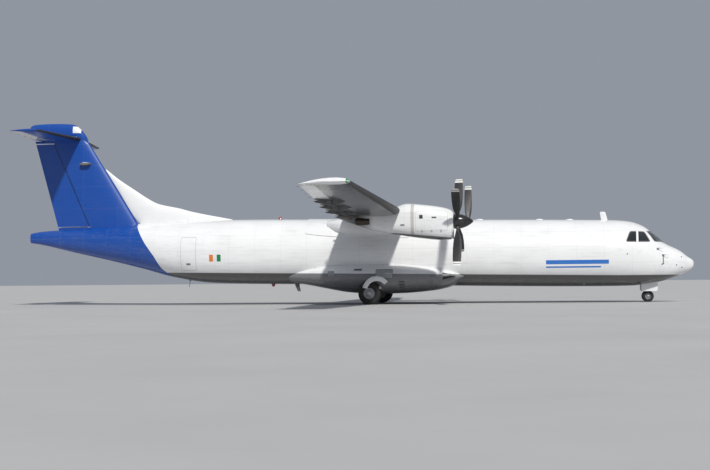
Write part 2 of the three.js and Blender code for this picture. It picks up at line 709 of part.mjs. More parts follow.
function nacelle(side) {
  const y = side * ENGINE_Y;
  const { from, to, half, bottom, top, clearance } = ENGINE;
  const room = block(from - clearance, to + clearance, y - half - clearance, y + half + clearance,
    bottom - SEAM, top + clearance);
  const mouth = block(INTAKE.from, INTAKE.to, y - INTAKE.half, y + INTAKE.half, INTAKE.bottom, INTAKE.top);
  const shaftHole = rod(at(PROP.station, y, PROP.z), at(from, y, PROP.z), SHAFT_RADIUS + SHAFT_ROOM);
  const pipe = exhaustPipe(y, side);
  const skin = joined(nacelleSkin(y), pipe.outer);
  return largest(skin.subtract(joined(room, mouth, shaftHole, pipe.bore, centreWing(SEAM))));
}

function blade(angle) {
  const rings = BLADE_SECTIONS.map(([along, chord, thick, twist]) => {
    const ring = [];
    const [ct, st] = [Math.cos((twist * Math.PI) / 180), Math.sin((twist * Math.PI) / 180)];
    for (let k = 0; k < BLADE_SIDES; k++) {
      const turn = (2 * Math.PI * k) / BLADE_SIDES;
      const [fore, flat] = [(Math.cos(turn) * chord) / 2, (Math.sin(turn) * thick) / 2];
      ring.push([fore * ct - flat * st, fore * st + flat * ct, along]);
    }
    return ring;
  });
  const geometry = geometryOf(loft(rings));
  // Stands the blade upright, then leans it by `angle` from upright towards +Y.
  return solid(geometry.rotateX((-angle * Math.PI) / 180));
}

// The spinner's outline as [radius, distance ahead of the propeller's middle], with room for the hub.
function spinnerProfile() {
  const [tip, back] = [PROP.station - SPINNER_TIP, PROP.station - SPINNER_BACK];
  const nose = Array.from({ length: SPINNER_STEPS }, (_, k) => {
    const share = (k + 1) / SPINNER_STEPS;
    const along = (tip - back - SPINNER_RIM) * share ** SPINNER_POINT;
    return [SPINNER_RADIUS * Math.sin((share * Math.PI) / 2), tip - along];
  });
  const bore = PROP.hub / Math.cos(Math.PI / SPINNER_SIDES) + SEAM;
  const front = HUB_FRONT + SEAM;
  return [[0, tip], ...nose, [SPINNER_RADIUS, back], [bore, back], [bore, front], [0, front]];
}

function bladeHole(angle) {
  const { from, to, room, sides } = BLADE_HOLES;
  const lean = (angle * Math.PI) / 180;
  const out = new THREE.Vector3(0, Math.sin(lean), Math.cos(lean));
  const [start, end] = [from, to].map((distance) => out.clone().multiplyScalar(distance));
  return rod(start, end, PROP.root + room, PROP.root + room, sides);
}

function propeller(name, side) {
  const centre = at(PROP.station, side * ENGINE_Y, PROP.z);
  const move = [centre.x, centre.y, centre.z];
  const [back, front] = [-PROP.depth, HUB_FRONT].map((x) => new THREE.Vector3(x, 0, 0));
  const hub = rod(back, front, PROP.hub, PROP.hub, 16);
  const angles = Array.from({ length: BLADE_COUNT }, (_, k) => PROP_ANGLE[name] + (360 / BLADE_COUNT) * k);
  const cone = turned(spinnerProfile(), new THREE.Vector3(), new THREE.Vector3(1, 0, 0), SPINNER_SIDES);
  return {
    blades: joined(hub, ...angles.map(blade)).translate(move),
    spinner: largest(cone.subtract(joined(...angles.map(bladeHole)))).translate(move),
  };
}

// Wheels and legs

function tyreProfile(radius, rim, width) {
  const [half, bead] = [width / 2, width * 0.38];
  const [low, high, edge] = [0.3, 0.7, 0.94].map((share) => rim + share * (radius - rim));
  const outer = [[low, half], [high, half], [edge, 0.36 * width], [radius, 0.2 * width]];
  const inner = outer.map(([r, along]) => [r, -along]);
  const seat = [[rim + SEAM, bead], [rim + SEAM, -bead]];
  return [seat[1], ...inner, ...outer.toReversed(), ...seat];
}

function rimProfile({ rim, axle, width, sides }, side) {
  const bead = width * 0.38;
  const bore = (axle + SEAM) / Math.cos(Math.PI / sides);
  const points = [[bore, -0.28 * width], [0.5 * rim, -0.28 * width], [0.88 * rim, -0.05 * width],
    [0.92 * rim, -bead], [rim, -bead], [rim, bead], [0.92 * rim, bead], [0.88 * rim, 0.1 * width],
    [bore, 0.2 * width], [bore, -0.28 * width]];
  return points.map(([radius, along]) => [radius, side * along]);
}

function wheel(gear, y, side) {
  const centre = at(gear.station, y, gear.radius);
  return {
    tyre: turned(tyreProfile(gear.radius, gear.rim, gear.width), centre, Y_AXIS, gear.sides),
    rim: turned(rimProfile(gear, side), centre, Y_AXIS, gear.sides),
  };
}

function mainLeg(side) {
  const y = side * MAIN.y;
  const reach = MAIN.pitch / 2 + AXLE_REACH * MAIN.width;
  const { station, radius } = MAIN;
  const axle = rod(at(station, y - reach, radius), at(station, y + reach, radius), MAIN.axle);
  const rods = LEG_RODS.map(({ from, to, radii }) => {
    const [start, end] = [from, to].map(([along, up]) => at(station + along, y, radius + up));
    return rod(start, end, ...radii);
  });
  const { half, side: across, below, above } = LEG_HEAD;
  const top = radius + WELL.radius;
  const head = block(station - half, station + half, y - across, y + across, top - below, top + above);
  return joined(axle, ...rods, head.intersect(wellSpace(y - 2 * across, y + 2 * across, SEAM)));
}

// The round part of a wheel well, between two places across the body.
function wellSpace(from, to, inset = 0) {
  const [start, end] = [from, to].map((y) => at(MAIN.station, y, MAIN.radius));
  return rod(start, end, WELL.radius - inset, WELL.radius - inset, WELL_SIDES);
}

function gearFairing() {
  const skin = plainLoft(GEAR_FAIRING_SECTIONS, { power: 2.6, sides: 40 });
  let made = skin.subtract(bodySkin(-SEAM));
  for (const side of [1, -1]) {
    const [from, to] = [side * WELL.inner, side * WELL.outer].sort((a, b) => a - b);
    const mouth = block(MAIN.station - WELL.radius, MAIN.station + WELL.radius, from, to, 0, MAIN.radius);
    made = made.subtract(joined(wellSpace(from, to), mouth));
  }
  return largest(made);
}

function noseLegs() {
  const { station, radius } = NOSE;
  const middle = (height) => at(station, 0, height);
  const stay = rod(middle(STRUT.split + DRAG_STAY.rise),
    at(NOSE_WELL.from + DRAG_STAY.ahead, 0, NOSE_WELL.top - DRAG_STAY.drop), DRAG_STAY.radius);
  const upper = joined(rod(middle(STRUT.split), middle(NOSE_WELL.top - SEAM), STRUT.radius), stay);
  const reach = NOSE.pitch / 2 + AXLE_REACH * NOSE.width;
  const axle = rod(at(station, -reach, radius), at(station, reach, radius), NOSE.axle);
  const piston = rod(middle(radius), middle(STRUT.split - SEAM), STRUT.piston);
  const collar = rod(middle(STRUT.split - STRUT.collar), middle(STRUT.split - SEAM), STRUT.radius);
  return { upper, fork: joined(axle, piston, collar) };
}

function noseDoor(side) {
  const { from, to, y, bottom, top, thickness, bevel: [along, up] } = NOSE_DOOR;
  const outline = [[from, bottom + up], [from + along, bottom], [to - along, bottom], [to, bottom + up],
    [to, top], [from, top]];
  const faces = [side * y, side * (y + thickness)].sort((a, b) => a - b);
  return plate(outline, ...faces).subtract(bodySkin(-SEAM));
}

// The model

const group = new THREE.Group();

function piece(name, made, [color, roughness, metalness], hinge) {
  const material = new THREE.MeshStandardMaterial({ color, roughness, metalness });
  const mesh = new THREE.Mesh(geometryOf(made), material);
  mesh.name = name;
  if (hinge) mesh.userData.hinge = [hinge.from.toArray(), hinge.to.toArray()];
  group.add(mesh);
}

function addBody() {
  const skin = bodySkin();
  const hold = holdSpace();
  const cargo = hingedDoor(CARGO_DOOR, skin, hold, CARGO_DOOR.height);
  const passenger = hingedDoor(PASSENGER_DOOR, skin, hold, 0, PASSENGER_DOOR.deepTop);
  const serviceSpace = doorSpace(SERVICE_DOOR, RUNNING_GAP - SEAM);
  const cockpit = cockpitPieces(skin);
  piece("radome", bodySlice(skin, -SEAM, SPLITS.radome), WHITE);
  piece("cockpit_section", cockpit.shellPiece, WHITE);
  for (const [name, made] of Object.entries(cockpit.panes)) piece(name, made, GLASS);
  const barrel = (from, to, cuts) => largest(bodySlice(skin, from, to).subtract(joined(hold, ...cuts)));
  piece("forward_barrel", barrel(SPLITS.cockpit, SPLITS.forward, [cargo.space]), WHITE);
  piece("centre_barrel", barrel(SPLITS.forward, SPLITS.centre, [centreWing(SEAM)]), WHITE);
  piece("aft_barrel", barrel(SPLITS.centre, SPLITS.aft, [passenger.space, serviceSpace]), WHITE);
  piece("tail_section", bodySlice(skin, SPLITS.aft, SPLITS.tail), BLUE);
  piece("tail_cone", bodySlice(skin, SPLITS.tail, LENGTH + SEAM), BLUE);
  piece("cargo_door", cargo.panel, WHITE, cargo.hinge);
  piece("passenger_door", passenger.panel, WHITE, passenger.hinge);
  piece("service_door", skin.intersect(doorSpace(SERVICE_DOOR, RUNNING_GAP)).subtract(hold), WHITE);
}

// The body's top grown outwards, over a lower edge that rises to its front and its back.
function collar() {
  const [first, last] = [COLLAR_EDGE[0][0], COLLAR_EDGE.at(-1)[0]];
  const outline = [...COLLAR_EDGE, [last, BODY_ROOM.top], [first, BODY_ROOM.top]];
  return bodySkin(-COLLAR_PROUD).intersect(plate(outline, -BODY_ROOM.half, BODY_ROOM.half));
}

function addWing() {
  const centre = centreWingPieces();
  const fairing = joined(plainLoft(ROOT_FAIRING_SECTIONS, { power: 3, sides: 32 }), collar());
  piece("wing_centre", centre.fixed, WHITE);
  piece("wing_root_fairing", largest(fairing.subtract(joined(bodySkin(-SEAM), centreWing(SEAM)))), WHITE);
  for (const [name, side] of [["left", 1], ["right", -1]]) {
    const outer = outerWing(side);
    piece("wing_" + name, outer.fixed, WHITE);
    piece("inner_flap_" + name, centre.flaps[name].moving, WHITE, centre.flaps[name].hinge);
    piece("outer_flap_" + name, outer.flap.moving, WHITE, outer.flap.hinge);
    piece("aileron_" + name, outer.aileron.moving, WHITE, outer.aileron.hinge);
  }
}

function addTail() {
  const fin = finPieces();
  const tailplane = tailplanePieces();
  const head = plainLoft(HEAD_SECTIONS, { power: 2.3, sides: 20 });
  piece("fin", fin.fixed, BLUE);
  piece("rudder", fin.rudder.moving, BLUE, fin.rudder.hinge);
  piece("tailplane", tailplane.fixed, BLUE);
  piece("elevator_left", tailplane.elevators.left.moving, BLUE, tailplane.elevators.left.hinge);
  piece("elevator_right", tailplane.elevators.right.moving, BLUE, tailplane.elevators.right.hinge);
  piece("fin_head_fairing", largest(head.subtract(joined(tailplaneSkin(SEAM), finSkin(SEAM)))), BLUE);
}

function addPower() {
  for (const [name, side] of [["left", 1], ["right", -1]]) {
    const prop = propeller(name, side);
    piece("nacelle_" + name, nacelle(side), WHITE);
    piece("engine_" + name, engineBlock(side * ENGINE_Y), ENGINE_GREY);
    piece("propeller_" + name, prop.blades, BLACK);
    piece("spinner_" + name, prop.spinner, BLACK);
  }
}

function addGear() {
  piece("gear_fairing", gearFairing(), WHITE);
  for (const [name, side] of [["left", 1], ["right", -1]]) {
    piece("main_leg_" + name, mainLeg(side), METAL);
    for (const [place, shift] of [["inner", -1], ["outer", 1]]) {
      const made = wheel(MAIN, side * (MAIN.y + (shift * MAIN.pitch) / 2), side * shift);
      piece(`main_tyre_${place}_${name}`, made.tyre, TYRE);
      piece(`main_rim_${place}_${name}`, made.rim, METAL);
    }
    const nose = wheel(NOSE, (side * NOSE.pitch) / 2, side);
    piece("nose_tyre_" + name, nose.tyre, TYRE);
    piece("nose_rim_" + name, nose.rim, METAL);
    piece("nose_gear_door_" + name, noseDoor(side), WHITE);
  }
  const legs = noseLegs();
  piece("nose_leg", legs.upper, METAL);
  piece("nose_fork", legs.fork, METAL);
}

addBody();
addWing();
addTail();
addPower();
addGear();

export default group;
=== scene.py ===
import json
import math

import bmesh
import bpy
import numpy as np
from mathutils import Matrix, Quaternion, Vector


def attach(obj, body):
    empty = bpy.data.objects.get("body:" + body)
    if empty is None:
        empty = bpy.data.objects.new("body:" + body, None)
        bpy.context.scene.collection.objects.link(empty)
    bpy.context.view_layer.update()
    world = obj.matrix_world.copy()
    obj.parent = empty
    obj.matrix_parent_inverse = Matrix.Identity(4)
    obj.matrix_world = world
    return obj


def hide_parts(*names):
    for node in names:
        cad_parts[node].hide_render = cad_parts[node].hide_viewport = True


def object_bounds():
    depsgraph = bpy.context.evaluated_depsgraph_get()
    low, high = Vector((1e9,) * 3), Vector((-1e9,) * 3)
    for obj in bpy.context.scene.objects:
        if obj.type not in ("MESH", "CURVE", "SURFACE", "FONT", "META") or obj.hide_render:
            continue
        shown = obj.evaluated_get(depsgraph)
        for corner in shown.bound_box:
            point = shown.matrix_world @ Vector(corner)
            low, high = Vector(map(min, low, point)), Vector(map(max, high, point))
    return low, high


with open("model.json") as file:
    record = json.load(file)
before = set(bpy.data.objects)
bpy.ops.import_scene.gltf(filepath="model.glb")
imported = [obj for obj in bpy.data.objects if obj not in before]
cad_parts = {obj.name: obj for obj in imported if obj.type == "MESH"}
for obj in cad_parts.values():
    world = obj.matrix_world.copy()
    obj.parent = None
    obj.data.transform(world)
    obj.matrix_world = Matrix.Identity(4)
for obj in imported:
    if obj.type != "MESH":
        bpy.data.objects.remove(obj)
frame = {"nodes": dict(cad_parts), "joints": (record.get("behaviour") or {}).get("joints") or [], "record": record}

CAD_LOW, CAD_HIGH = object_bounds()
NOSE_X = CAD_HIGH.x
BODY_OF = {node: body for body, nodes in frame["record"]["behaviour"]["bodies"].items() for node in nodes}
SIDES = (("left", 1), ("right", -1))
ALONG, ACROSS, UP = Vector((1, 0, 0)), Vector((0, 1, 0)), Vector((0, 0, 1))

# Body: station, half width, top, bottom, height of the widest line
BODY = np.array([
    (0.0, 0.06, 1.56, 1.44, 1.5),
    (0.16, 0.26, 1.72, 1.23, 1.49),
    (0.5, 0.52, 1.985, 1.065, 1.51),
    (1.2, 0.905, 2.36, 0.815, 1.57),
    (1.56, 1.045, 2.7, 0.745, 1.64),
    (1.95, 1.175, 3.0, 0.68, 1.72),
    (2.45, 1.295, 3.175, 0.64, 1.79),
    (3.0, 1.385, 3.235, 0.632, 1.815),
    (3.6, 1.432, 3.255, 0.63, 1.823),
    (10.4, 1.432, 3.365, 0.715, 1.933),
    (14.3, 1.432, 3.43, 0.79, 1.998),
    (18.2, 1.432, 3.48, 0.85, 2.048),
    (19.4, 1.395, 3.48, 0.9, 2.1),
    (20.9, 1.25, 3.445, 1.13, 2.23),
    (22.2, 1.05, 3.39, 1.48, 2.42),
    (23.7, 0.77, 3.29, 1.855, 2.59),
    (25.3, 0.46, 3.19, 2.225, 2.72),
    (26.7, 0.23, 3.11, 2.55, 2.83),
    (27.166, 0.13, 3.035, 2.63, 2.835),
])
# Other rounded skins: station, half width, top, bottom; the widest line is half way up
NACELLE = np.array([
    (9.17, 0.33, 3.44, 2.6),
    (9.25, 0.395, 3.525, 2.44),
    (9.6, 0.475, 3.64, 2.42),
    (10.25, 0.52, 3.735, 2.48),
    (10.9, 0.53, 3.79, 2.57),
    (11.4, 0.52, 3.64, 2.655),
    (12.13, 0.47, 3.56, 2.8),
    (12.85, 0.38, 3.48, 3.03),
    (13.45, 0.23, 3.42, 3.25),
])
ROOT_FAIRING = np.array([
    (10.15, 0.9, 3.42, 3.0),
    (10.6, 1.35, 3.56, 2.72),
    (11.15, 1.49, 3.7, 2.62),
    (12.3, 1.5, 3.76, 2.62),
    (13.35, 1.49, 3.64, 2.64),
    (13.9, 1.33, 3.47, 2.76),
    (14.4, 0.95, 3.38, 2.96),
])
GEAR_FAIRING = np.array([
    (8.96, 1.29, 1.13, 1.01),
    (9.4, 1.56, 1.35, 0.71),
    (10.25, 1.85, 1.545, 0.51),
    (11.58, 2.06, 1.66, 0.41),
    (12.56, 2.085, 1.67, 0.395),
    (13.6, 2.02, 1.66, 0.465),
    (14.5, 1.78, 1.61, 0.62),
    (15.28, 1.4, 1.52, 0.77),
    (15.95, 1.08, 1.44, 0.88),
])
FILLET = np.array([
    (18.5, 0.06, 3.5, 3.25),
    (20.3, 0.11, 3.87, 3.25),
    (20.7, 0.125, 3.985, 3.25),
    (21.66, 0.14, 4.2, 3.25),
    (22.2, 0.13, 4.49, 3.25),
    (22.64, 0.11, 4.78, 3.56),
    (23.33, 0.07, 5.24, 4.68),
    (23.9, 0.03, 5.69, 5.59),
])
HEAD_FAIRING = np.array([
    (24.69, 0.045, 6.99, 6.83),
    (24.84, 0.11, 7.22, 6.83),
    (25.0, 0.15, 7.4, 6.85),
    (25.18, 0.185, 7.55, 6.88),
    (25.4, 0.2, 7.615, 6.9),
    (26.2, 0.21, 7.65, 6.9),
    (27.0, 0.16, 7.625, 6.98),
    (27.166, 0.09, 7.56, 7.15),
])
# How far out the nacelles stand, how proud the root fairing's collar is, how deep the panes are set in
NACELLE_Y = 4.05
COLLAR_PROUD = 0.025
PANE_SET_IN = 0.004
# A nacelle's intake duct and its exhaust pipe, which lies outboard of the nacelle's middle by its offset
INTAKE = {"from": 9.17, "to": 9.75, "half": 0.27, "bottom": 2.475, "top": 2.76}
EXHAUST = {"from": 12.25, "to": 12.75, "offset": 0.385, "z": 3.13, "radius": 0.13}
# Propeller blade: distance from the axis, chord, thickness, twist in degrees
BLADE = np.array([
    (0.15, 0.116, 0.116, 0.0),
    (0.42, 0.116, 0.116, 0.0),
    (0.56, 0.19, 0.078, 18.0),
    (0.8, 0.29, 0.05, 12.0),
    (1.2, 0.325, 0.034, 6.0),
    (1.6, 0.32, 0.022, 1.0),
    (1.85, 0.3, 0.015, -2.0),
    (1.95, 0.28, 0.011, -3.0),
    (1.98, 0.236, 0.008, -3.0),
])
# How far round each propeller has turned, in degrees
BLADE_ANGLES = {"left": 14.0, "right": 33.6}
PROPELLER = {"station": 9.0, "z": 3.103, "hub": 0.21, "front": 0.12, "back": -0.15}
SPINNER = {"tip": 0.58, "back": -0.15, "rim": 0.12, "radius": 0.275, "point": 1.25}
# Wheels: the axle's station and distance out, three radii, the tyre's width, and how far apart a pair stands
MAIN_WHEEL = {"station": 12.557, "y": 2.05, "radius": 0.432, "width": 0.25, "rim": 0.215, "axle": 0.045,
              "pitch": 0.42}
NOSE_WHEEL = {"station": 1.787, "y": 0.0, "radius": 0.225, "width": 0.19, "rim": 0.115, "axle": 0.028,
              "pitch": 0.3}
# The hold's floor, which climbs a little for each metre towards the tail
FLOOR = {"station": 3.3, "height": 1.13, "climb": 0.0155, "half": 1.3}

# Wings and tail: span place, leading edge station, chord, height of the chord's front, thickness ratio
WING_ROOT = (4.9, 11.12, 2.57, 3.52, 0.18)
WING_TIP = (13.45, 11.74, 1.59, 3.95, 0.13)
TAILPLANE_ROOT = (0.0, 24.94, 2.08, 6.97, 0.12)
TAILPLANE_TIP = (3.6, 25.42, 1.22, 6.97, 0.1)
FIN_FOOT = (3.05, 22.32, 3.61, 0.0, 0.115)
FIN_HEAD = (6.915, 24.7, 2.285, 0.0, 0.12)
WING_SHAPE = {"camber": 0.025, "incidence": math.tan(math.radians(2))}
FLAT_SHAPE = {"camber": 0.0, "incidence": 0.0}
# Shares of the chord where the solids' sections have their corners, and half the trailing edge's thickness
CAD_SHARES = np.array([0.0, 0.012, 0.05, 0.15, 0.3, 0.5, 0.72, 0.86, 1.0])
TRAILING_HALF = 0.002
# Points nearer to a hinge line than this keep their place
HINGE_ROOM = 0.022

# Working limits: three merging distances, how far a solid's face may lie from its skin, how often and how far a
# point is moved onto a skin, how far and how often the front of a skin is searched, how well a face has to lie
# along its skin (1 is fully), and the angle in degrees up to which an edge is smooth
SOLID_MERGE = 2e-5
PIECE_MERGE = 2e-6
CUT_MERGE = 1e-5
SKIN_SLACK = 0.016
SETTLE_ROUNDS = 4
SETTLE_REACH = 0.05
FRONT_REACH = 3.0
FRONT_ROUNDS = 30
CLOSE_TO_SKIN = 0.75
SOLID_ANGLE = 32


def station_of(x):
    return NOSE_X - x


def place(station, y, z):
    return Vector((NOSE_X - station, y, z))


def floor_height(station):
    return FLOOR["height"] + FLOOR["climb"] * (station - FLOOR["station"])
# Smooth skins


def smooth_curve(knots, values):
    """A curve through the knots that never swings past them."""
    gap = np.diff(knots)
    slope = np.diff(values) / gap
    near, far = 2 * gap[1:] + gap[:-1], gap[1:] + 2 * gap[:-1]
    steady = slope[:-1] * slope[1:] > 0
    before, after = np.where(steady, slope[:-1], 1.0), np.where(steady, slope[1:], 1.0)
    tangent = np.concatenate(([slope[0]], np.zeros(len(gap) - 1), [slope[-1]]))
    tangent[1:-1] = np.where(steady, (near + far) / (near / before + far / after), 0.0)

    def value(x):
        i = np.clip(np.searchsorted(knots, x) - 1, 0, len(gap) - 1)
        t = np.clip((x - knots[i]) / gap[i], 0.0, 1.0)
        rise = (1 + 2 * t) * (1 - t) ** 2 * values[i] + t * t * (3 - 2 * t) * values[i + 1]
        return rise + gap[i] * (t * (1 - t) ** 2 * tangent[i] + t * t * (t - 1) * tangent[i + 1])

    return value


class Skin:
    """A surface given by a level that is nought on it and grows outwards."""

    step = 0.001

    def distance(self, points, rounded=True):
        level = self.level(points, rounded)
        return level / np.maximum(np.linalg.norm(self.slope(points, rounded), axis=1), 1e-6)

    def slope(self, points, rounded=True):
        shifts = np.eye(3) * self.step
        ways = [self.level(points + s, rounded) - self.level(points - s, rounded) for s in shifts]
        return np.stack(ways, axis=1) / (2 * self.step)

    def normal(self, points):
        slope = self.slope(points)
        return slope / np.maximum(np.linalg.norm(slope, axis=1, keepdims=True), 1e-6)

    def settle(self, points, offset=0.0):
        """Moves points straight onto the skin, or `offset` outside it."""
        for _ in range(SETTLE_ROUNDS):
            away = self.distance(points) - offset
            points = points - self.normal(points) * np.clip(away, -SETTLE_REACH, SETTLE_REACH)[:, None]
        return points


class Rounded(Skin):
    """A skin over rounded sections. Near its tip the nose swells like a parabola."""

    def __init__(self, table, powers, y=0.0, blunt=0.0):
        self.y, self.powers, self.blunt = y, powers, blunt
        middle = table[:, 4] if table.shape[1] > 4 else (table[:, 2] + table[:, 3]) / 2
        self.columns = [table[:, 1], table[:, 2], table[:, 3], middle]
        self.knots = table[:, 0]
        self.curves = [smooth_curve(self.stretch(self.knots), column) for column in self.columns]

    def stretch(self, station):
        if not self.blunt:
            return station
        near = 2 * np.sqrt(self.blunt * np.clip(station, 0, None)) - self.blunt
        return np.where(station < self.blunt, near, station)

    def section(self, station, rounded=True):
        if rounded:
            return [curve(self.stretch(station)) for curve in self.curves]
        return [np.interp(station, self.knots, column) for column in self.columns]

    def level(self, points, rounded=True):
        station = station_of(points[:, 0])
        half, top, bottom, middle = self.section(station, rounded)
        across, up = np.abs(points[:, 1] - self.y), points[:, 2] - middle
        height = np.where(up >= 0, top - middle, middle - bottom)
        power = np.where(up >= 0, self.powers[0], self.powers[1])
        whole = (across / half) ** power + (np.abs(up) / height) ** power
        outside = np.maximum(self.knots[0] - station, station - self.knots[-1])
        return whole ** (1 / power) - 1 + np.maximum(outside, 0)

    def side(self, station, z):
        """How far out of its middle plane the skin lies at a station and height."""
        half, top, bottom, middle = self.section(station)
        up = z - middle
        share = np.clip(np.abs(up) / np.where(up >= 0, top - middle, middle - bottom), 0, 0.999)
        power = np.where(up >= 0, self.powers[0], self.powers[1])
        return half * (1 - share**power) ** (1 / power)

    def front(self, y, z):
        """The station where a line along the body meets the skin ahead of its widest section."""
        low = np.full(len(y), self.knots[0])
        high = low + FRONT_REACH
        for _ in range(FRONT_ROUNDS):
            middle = (low + high) / 2
            outside = self.level(np.stack([NOSE_X - middle, y, z], axis=1)) > 0
            low, high = np.where(outside, middle, low), np.where(outside, high, middle)
        return high


class Aerofoil(Skin):
    """A skin over two aerofoil sections. `upright` lays the span along Z, as on a fin."""

    def __init__(self, root, tip, shape, upright=False):
        self.root, self.tip, self.shape, self.upright = np.array(root), np.array(tip), shape, upright

    def local(self, points):
        span = points[:, 2] if self.upright else np.abs(points[:, 1])
        height = np.abs(points[:, 1]) if self.upright else points[:, 2]
        share = (span - self.root[0]) / (self.tip[0] - self.root[0])
        row = self.root + np.clip(share, 0, 1)[:, None] * (self.tip - self.root)
        along = (station_of(points[:, 0]) - row[:, 1]) / row[:, 2]
        bend = 4 * self.shape["camber"] * along * (1 - along) - self.shape["incidence"] * along
        return share, row, along, height - row[:, 3] - bend * row[:, 2]

    @staticmethod
    def thickness(x):
        x = np.clip(x, 0, 1)
        poly = 0.2969 * np.sqrt(x) - 0.126 * x - 0.3516 * x**2 + 0.2843 * x**3 - 0.1036 * x**4
        return 5 * poly

    def half(self, share, along, rounded=True):
        if rounded:
            shape = self.thickness(along)
        else:
            shape = np.interp(along, CAD_SHARES, self.thickness(CAD_SHARES))
        ends = [row[4] * row[2] for row in (self.root, self.tip)]
        return np.maximum(shape * (ends[0] + np.clip(share, 0, 1) * (ends[1] - ends[0])), TRAILING_HALF)

    def level(self, points, rounded=True):
        share, row, along, up = self.local(points)
        outside = np.maximum(share - 1, 0) * abs(self.tip[0] - self.root[0])
        ahead = np.maximum(-along, 0) * row[:, 2]
        return np.abs(up) - self.half(share, along, rounded) + outside + 8 * ahead


class Spun(Skin):
    """A pointed cone turned about a line along the body."""

    def __init__(self, centre, shape):
        self.centre, self.shape = np.array(centre), shape

    def level(self, points, rounded=True):
        tip, back, rim = (self.shape[key] for key in ("tip", "back", "rim"))
        along, y, z = (points - self.centre).T
        share = np.clip((tip - along) / (tip - back - rim), 0, 1) ** (1 / self.shape["point"])
        beyond = np.maximum(along - tip, 0)
        return np.hypot(y, z) - self.shape["radius"] * np.sin(share * math.pi / 2) + beyond


# The pair of powers says how square the upper and lower halves are: 2 is an ellipse
BODY_SKIN = Rounded(BODY, (2.0, 2.4), blunt=0.16)
NACELLE_SKINS = {side: Rounded(NACELLE, (2.7, 2.7), y=side * NACELLE_Y) for _, side in SIDES}
ROOT_FAIRING_SKIN = Rounded(ROOT_FAIRING, (3.0, 3.0))
GEAR_FAIRING_SKIN = Rounded(GEAR_FAIRING, (2.6, 2.6))
FILLET_SKIN = Rounded(FILLET, (2.0, 2.0))
HEAD_FAIRING_SKIN = Rounded(HEAD_FAIRING, (2.3, 2.3))
WING_SKIN = Aerofoil(WING_ROOT, WING_TIP, WING_SHAPE)
TAILPLANE_SKIN = Aerofoil(TAILPLANE_ROOT, TAILPLANE_TIP, FLAT_SHAPE)
FIN_SKIN = Aerofoil(FIN_FOOT, FIN_HEAD, FLAT_SHAPE, upright=True)
PROP_CENTRES = {side: place(PROPELLER["station"], side * NACELLE_Y, PROPELLER["z"]) for _, side in SIDES}
SPINNER_SKINS = {side: Spun(PROP_CENTRES[side], SPINNER) for _, side in SIDES}
# Making pieces


def new_object(name, data):
    made = bpy.data.objects.new(name, data)
    bpy.context.scene.collection.objects.link(made)
    return made


def mesh_of(bm, name):
    mesh = bpy.data.meshes.new(name)
    bm.to_mesh(mesh)
    bm.free()
    return mesh


def take_in(bm, mesh):
    bm.from_mesh(mesh)
    bpy.data.meshes.remove(mesh)


def values_of(items, key, width=1, kind=float):
    """A value, or a row of `width` values, for each item of a mesh."""
    values = np.zeros(len(items) * width, kind)
    items.foreach_get(key, values)
    return values.reshape(-1, width) if width > 1 else values


def finish_piece(piece, body, materials, replaces=()):
    for material in materials:
        piece.data.materials.append(material)
    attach(piece, body)
    if replaces:
        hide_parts(*replaces)


def piece_from(name, bm, body, slot, *materials, replaces=(), angle=None):
    """A new piece from a bmesh. With `angle` its shading is smooth across edges flatter than that."""
    bmesh.ops.remove_doubles(bm, verts=bm.verts, dist=PIECE_MERGE)
    bmesh.ops.recalc_face_normals(bm, faces=bm.faces)
    mesh = mesh_of(bm, name)
    if angle is not None:
        mesh.shade_smooth()
        mesh.set_sharp_from_angle(angle=math.radians(angle))
    finish_piece(new_object(name, mesh), body, materials, replaces)


def cut_by(bm, planes):
    for point, normal in planes:
        everything = bm.verts[:] + bm.edges[:] + bm.faces[:]
        bmesh.ops.bisect_plane(bm, geom=everything, plane_co=point, plane_no=normal, dist=CUT_MERGE)


def near_hinge(points, radius):
    """Which points lie within `radius` of any hinge line, each line taken as endless."""
    near = np.zeros(len(points), bool)
    for joint in frame["joints"]:
        if "range_deg" not in joint:
            continue
        axis = np.array(joint["axis"]) / np.linalg.norm(joint["axis"])
        arm = points - np.array(joint["pos_m"])
        arm = arm - (arm @ axis)[:, None] * axis
        near |= np.linalg.norm(arm, axis=1) < radius
    return near


def dressed(node, skins, planes, materials, slack=SKIN_SLACK, regions=(), sunk=0.0):
    """The node's own shape with its outer faces cut finer, rounded onto skins and shaded from them.

    `skins` are pairs of a skin and how far outside it the faces lie. `materials` are those of the outer faces
    and of the cut ones. A region is a material, a test of faces' middles and whether it is for outer faces.
    Faces of the first skin end up `sunk` under it.
    """
    bm = bmesh.new()
    bm.from_mesh(frame["nodes"][node].data)
    bmesh.ops.remove_doubles(bm, verts=bm.verts, dist=SOLID_MERGE)
    cut_by(bm, planes)
    mesh = mesh_of(bm, node + "_skin")
    points = values_of(mesh.vertices, "co", 3)
    misses = np.stack([np.abs(skin.distance(points, rounded=False) - offset) for skin, offset in skins])
    owner = np.where(misses.min(axis=0) < slack, misses.argmin(axis=0), -1)
    owner[near_hinge(points, HINGE_ROOM)] = -1
    normals = np.zeros_like(points)
    for index, (skin, offset) in enumerate(skins):
        mine = owner == index
        level = offset - (0.0 if index else sunk)
        points[mine] = np.clip(skin.settle(points[mine], level), CAD_LOW, CAD_HIGH)
        normals[mine] = skin.normal(points[mine])
    mesh.vertices.foreach_set("co", points.ravel())
    mesh.update()
    outer = shade_from(mesh, normals, owner >= 0)
    kinds = np.where(outer, 0, len(materials) - 1)
    middles = np.array([face.center for face in mesh.polygons])
    for index, (_, test, on_outer) in enumerate(regions):
        kinds[(outer == on_outer) & test(middles)] = len(materials) + index
    mesh.polygons.foreach_set("material_index", kinds.astype(np.int32))
    everything = [*materials, *(row[0] for row in regions)]
    finish_piece(new_object(node + "_skin", mesh), BODY_OF[node], everything, [node])


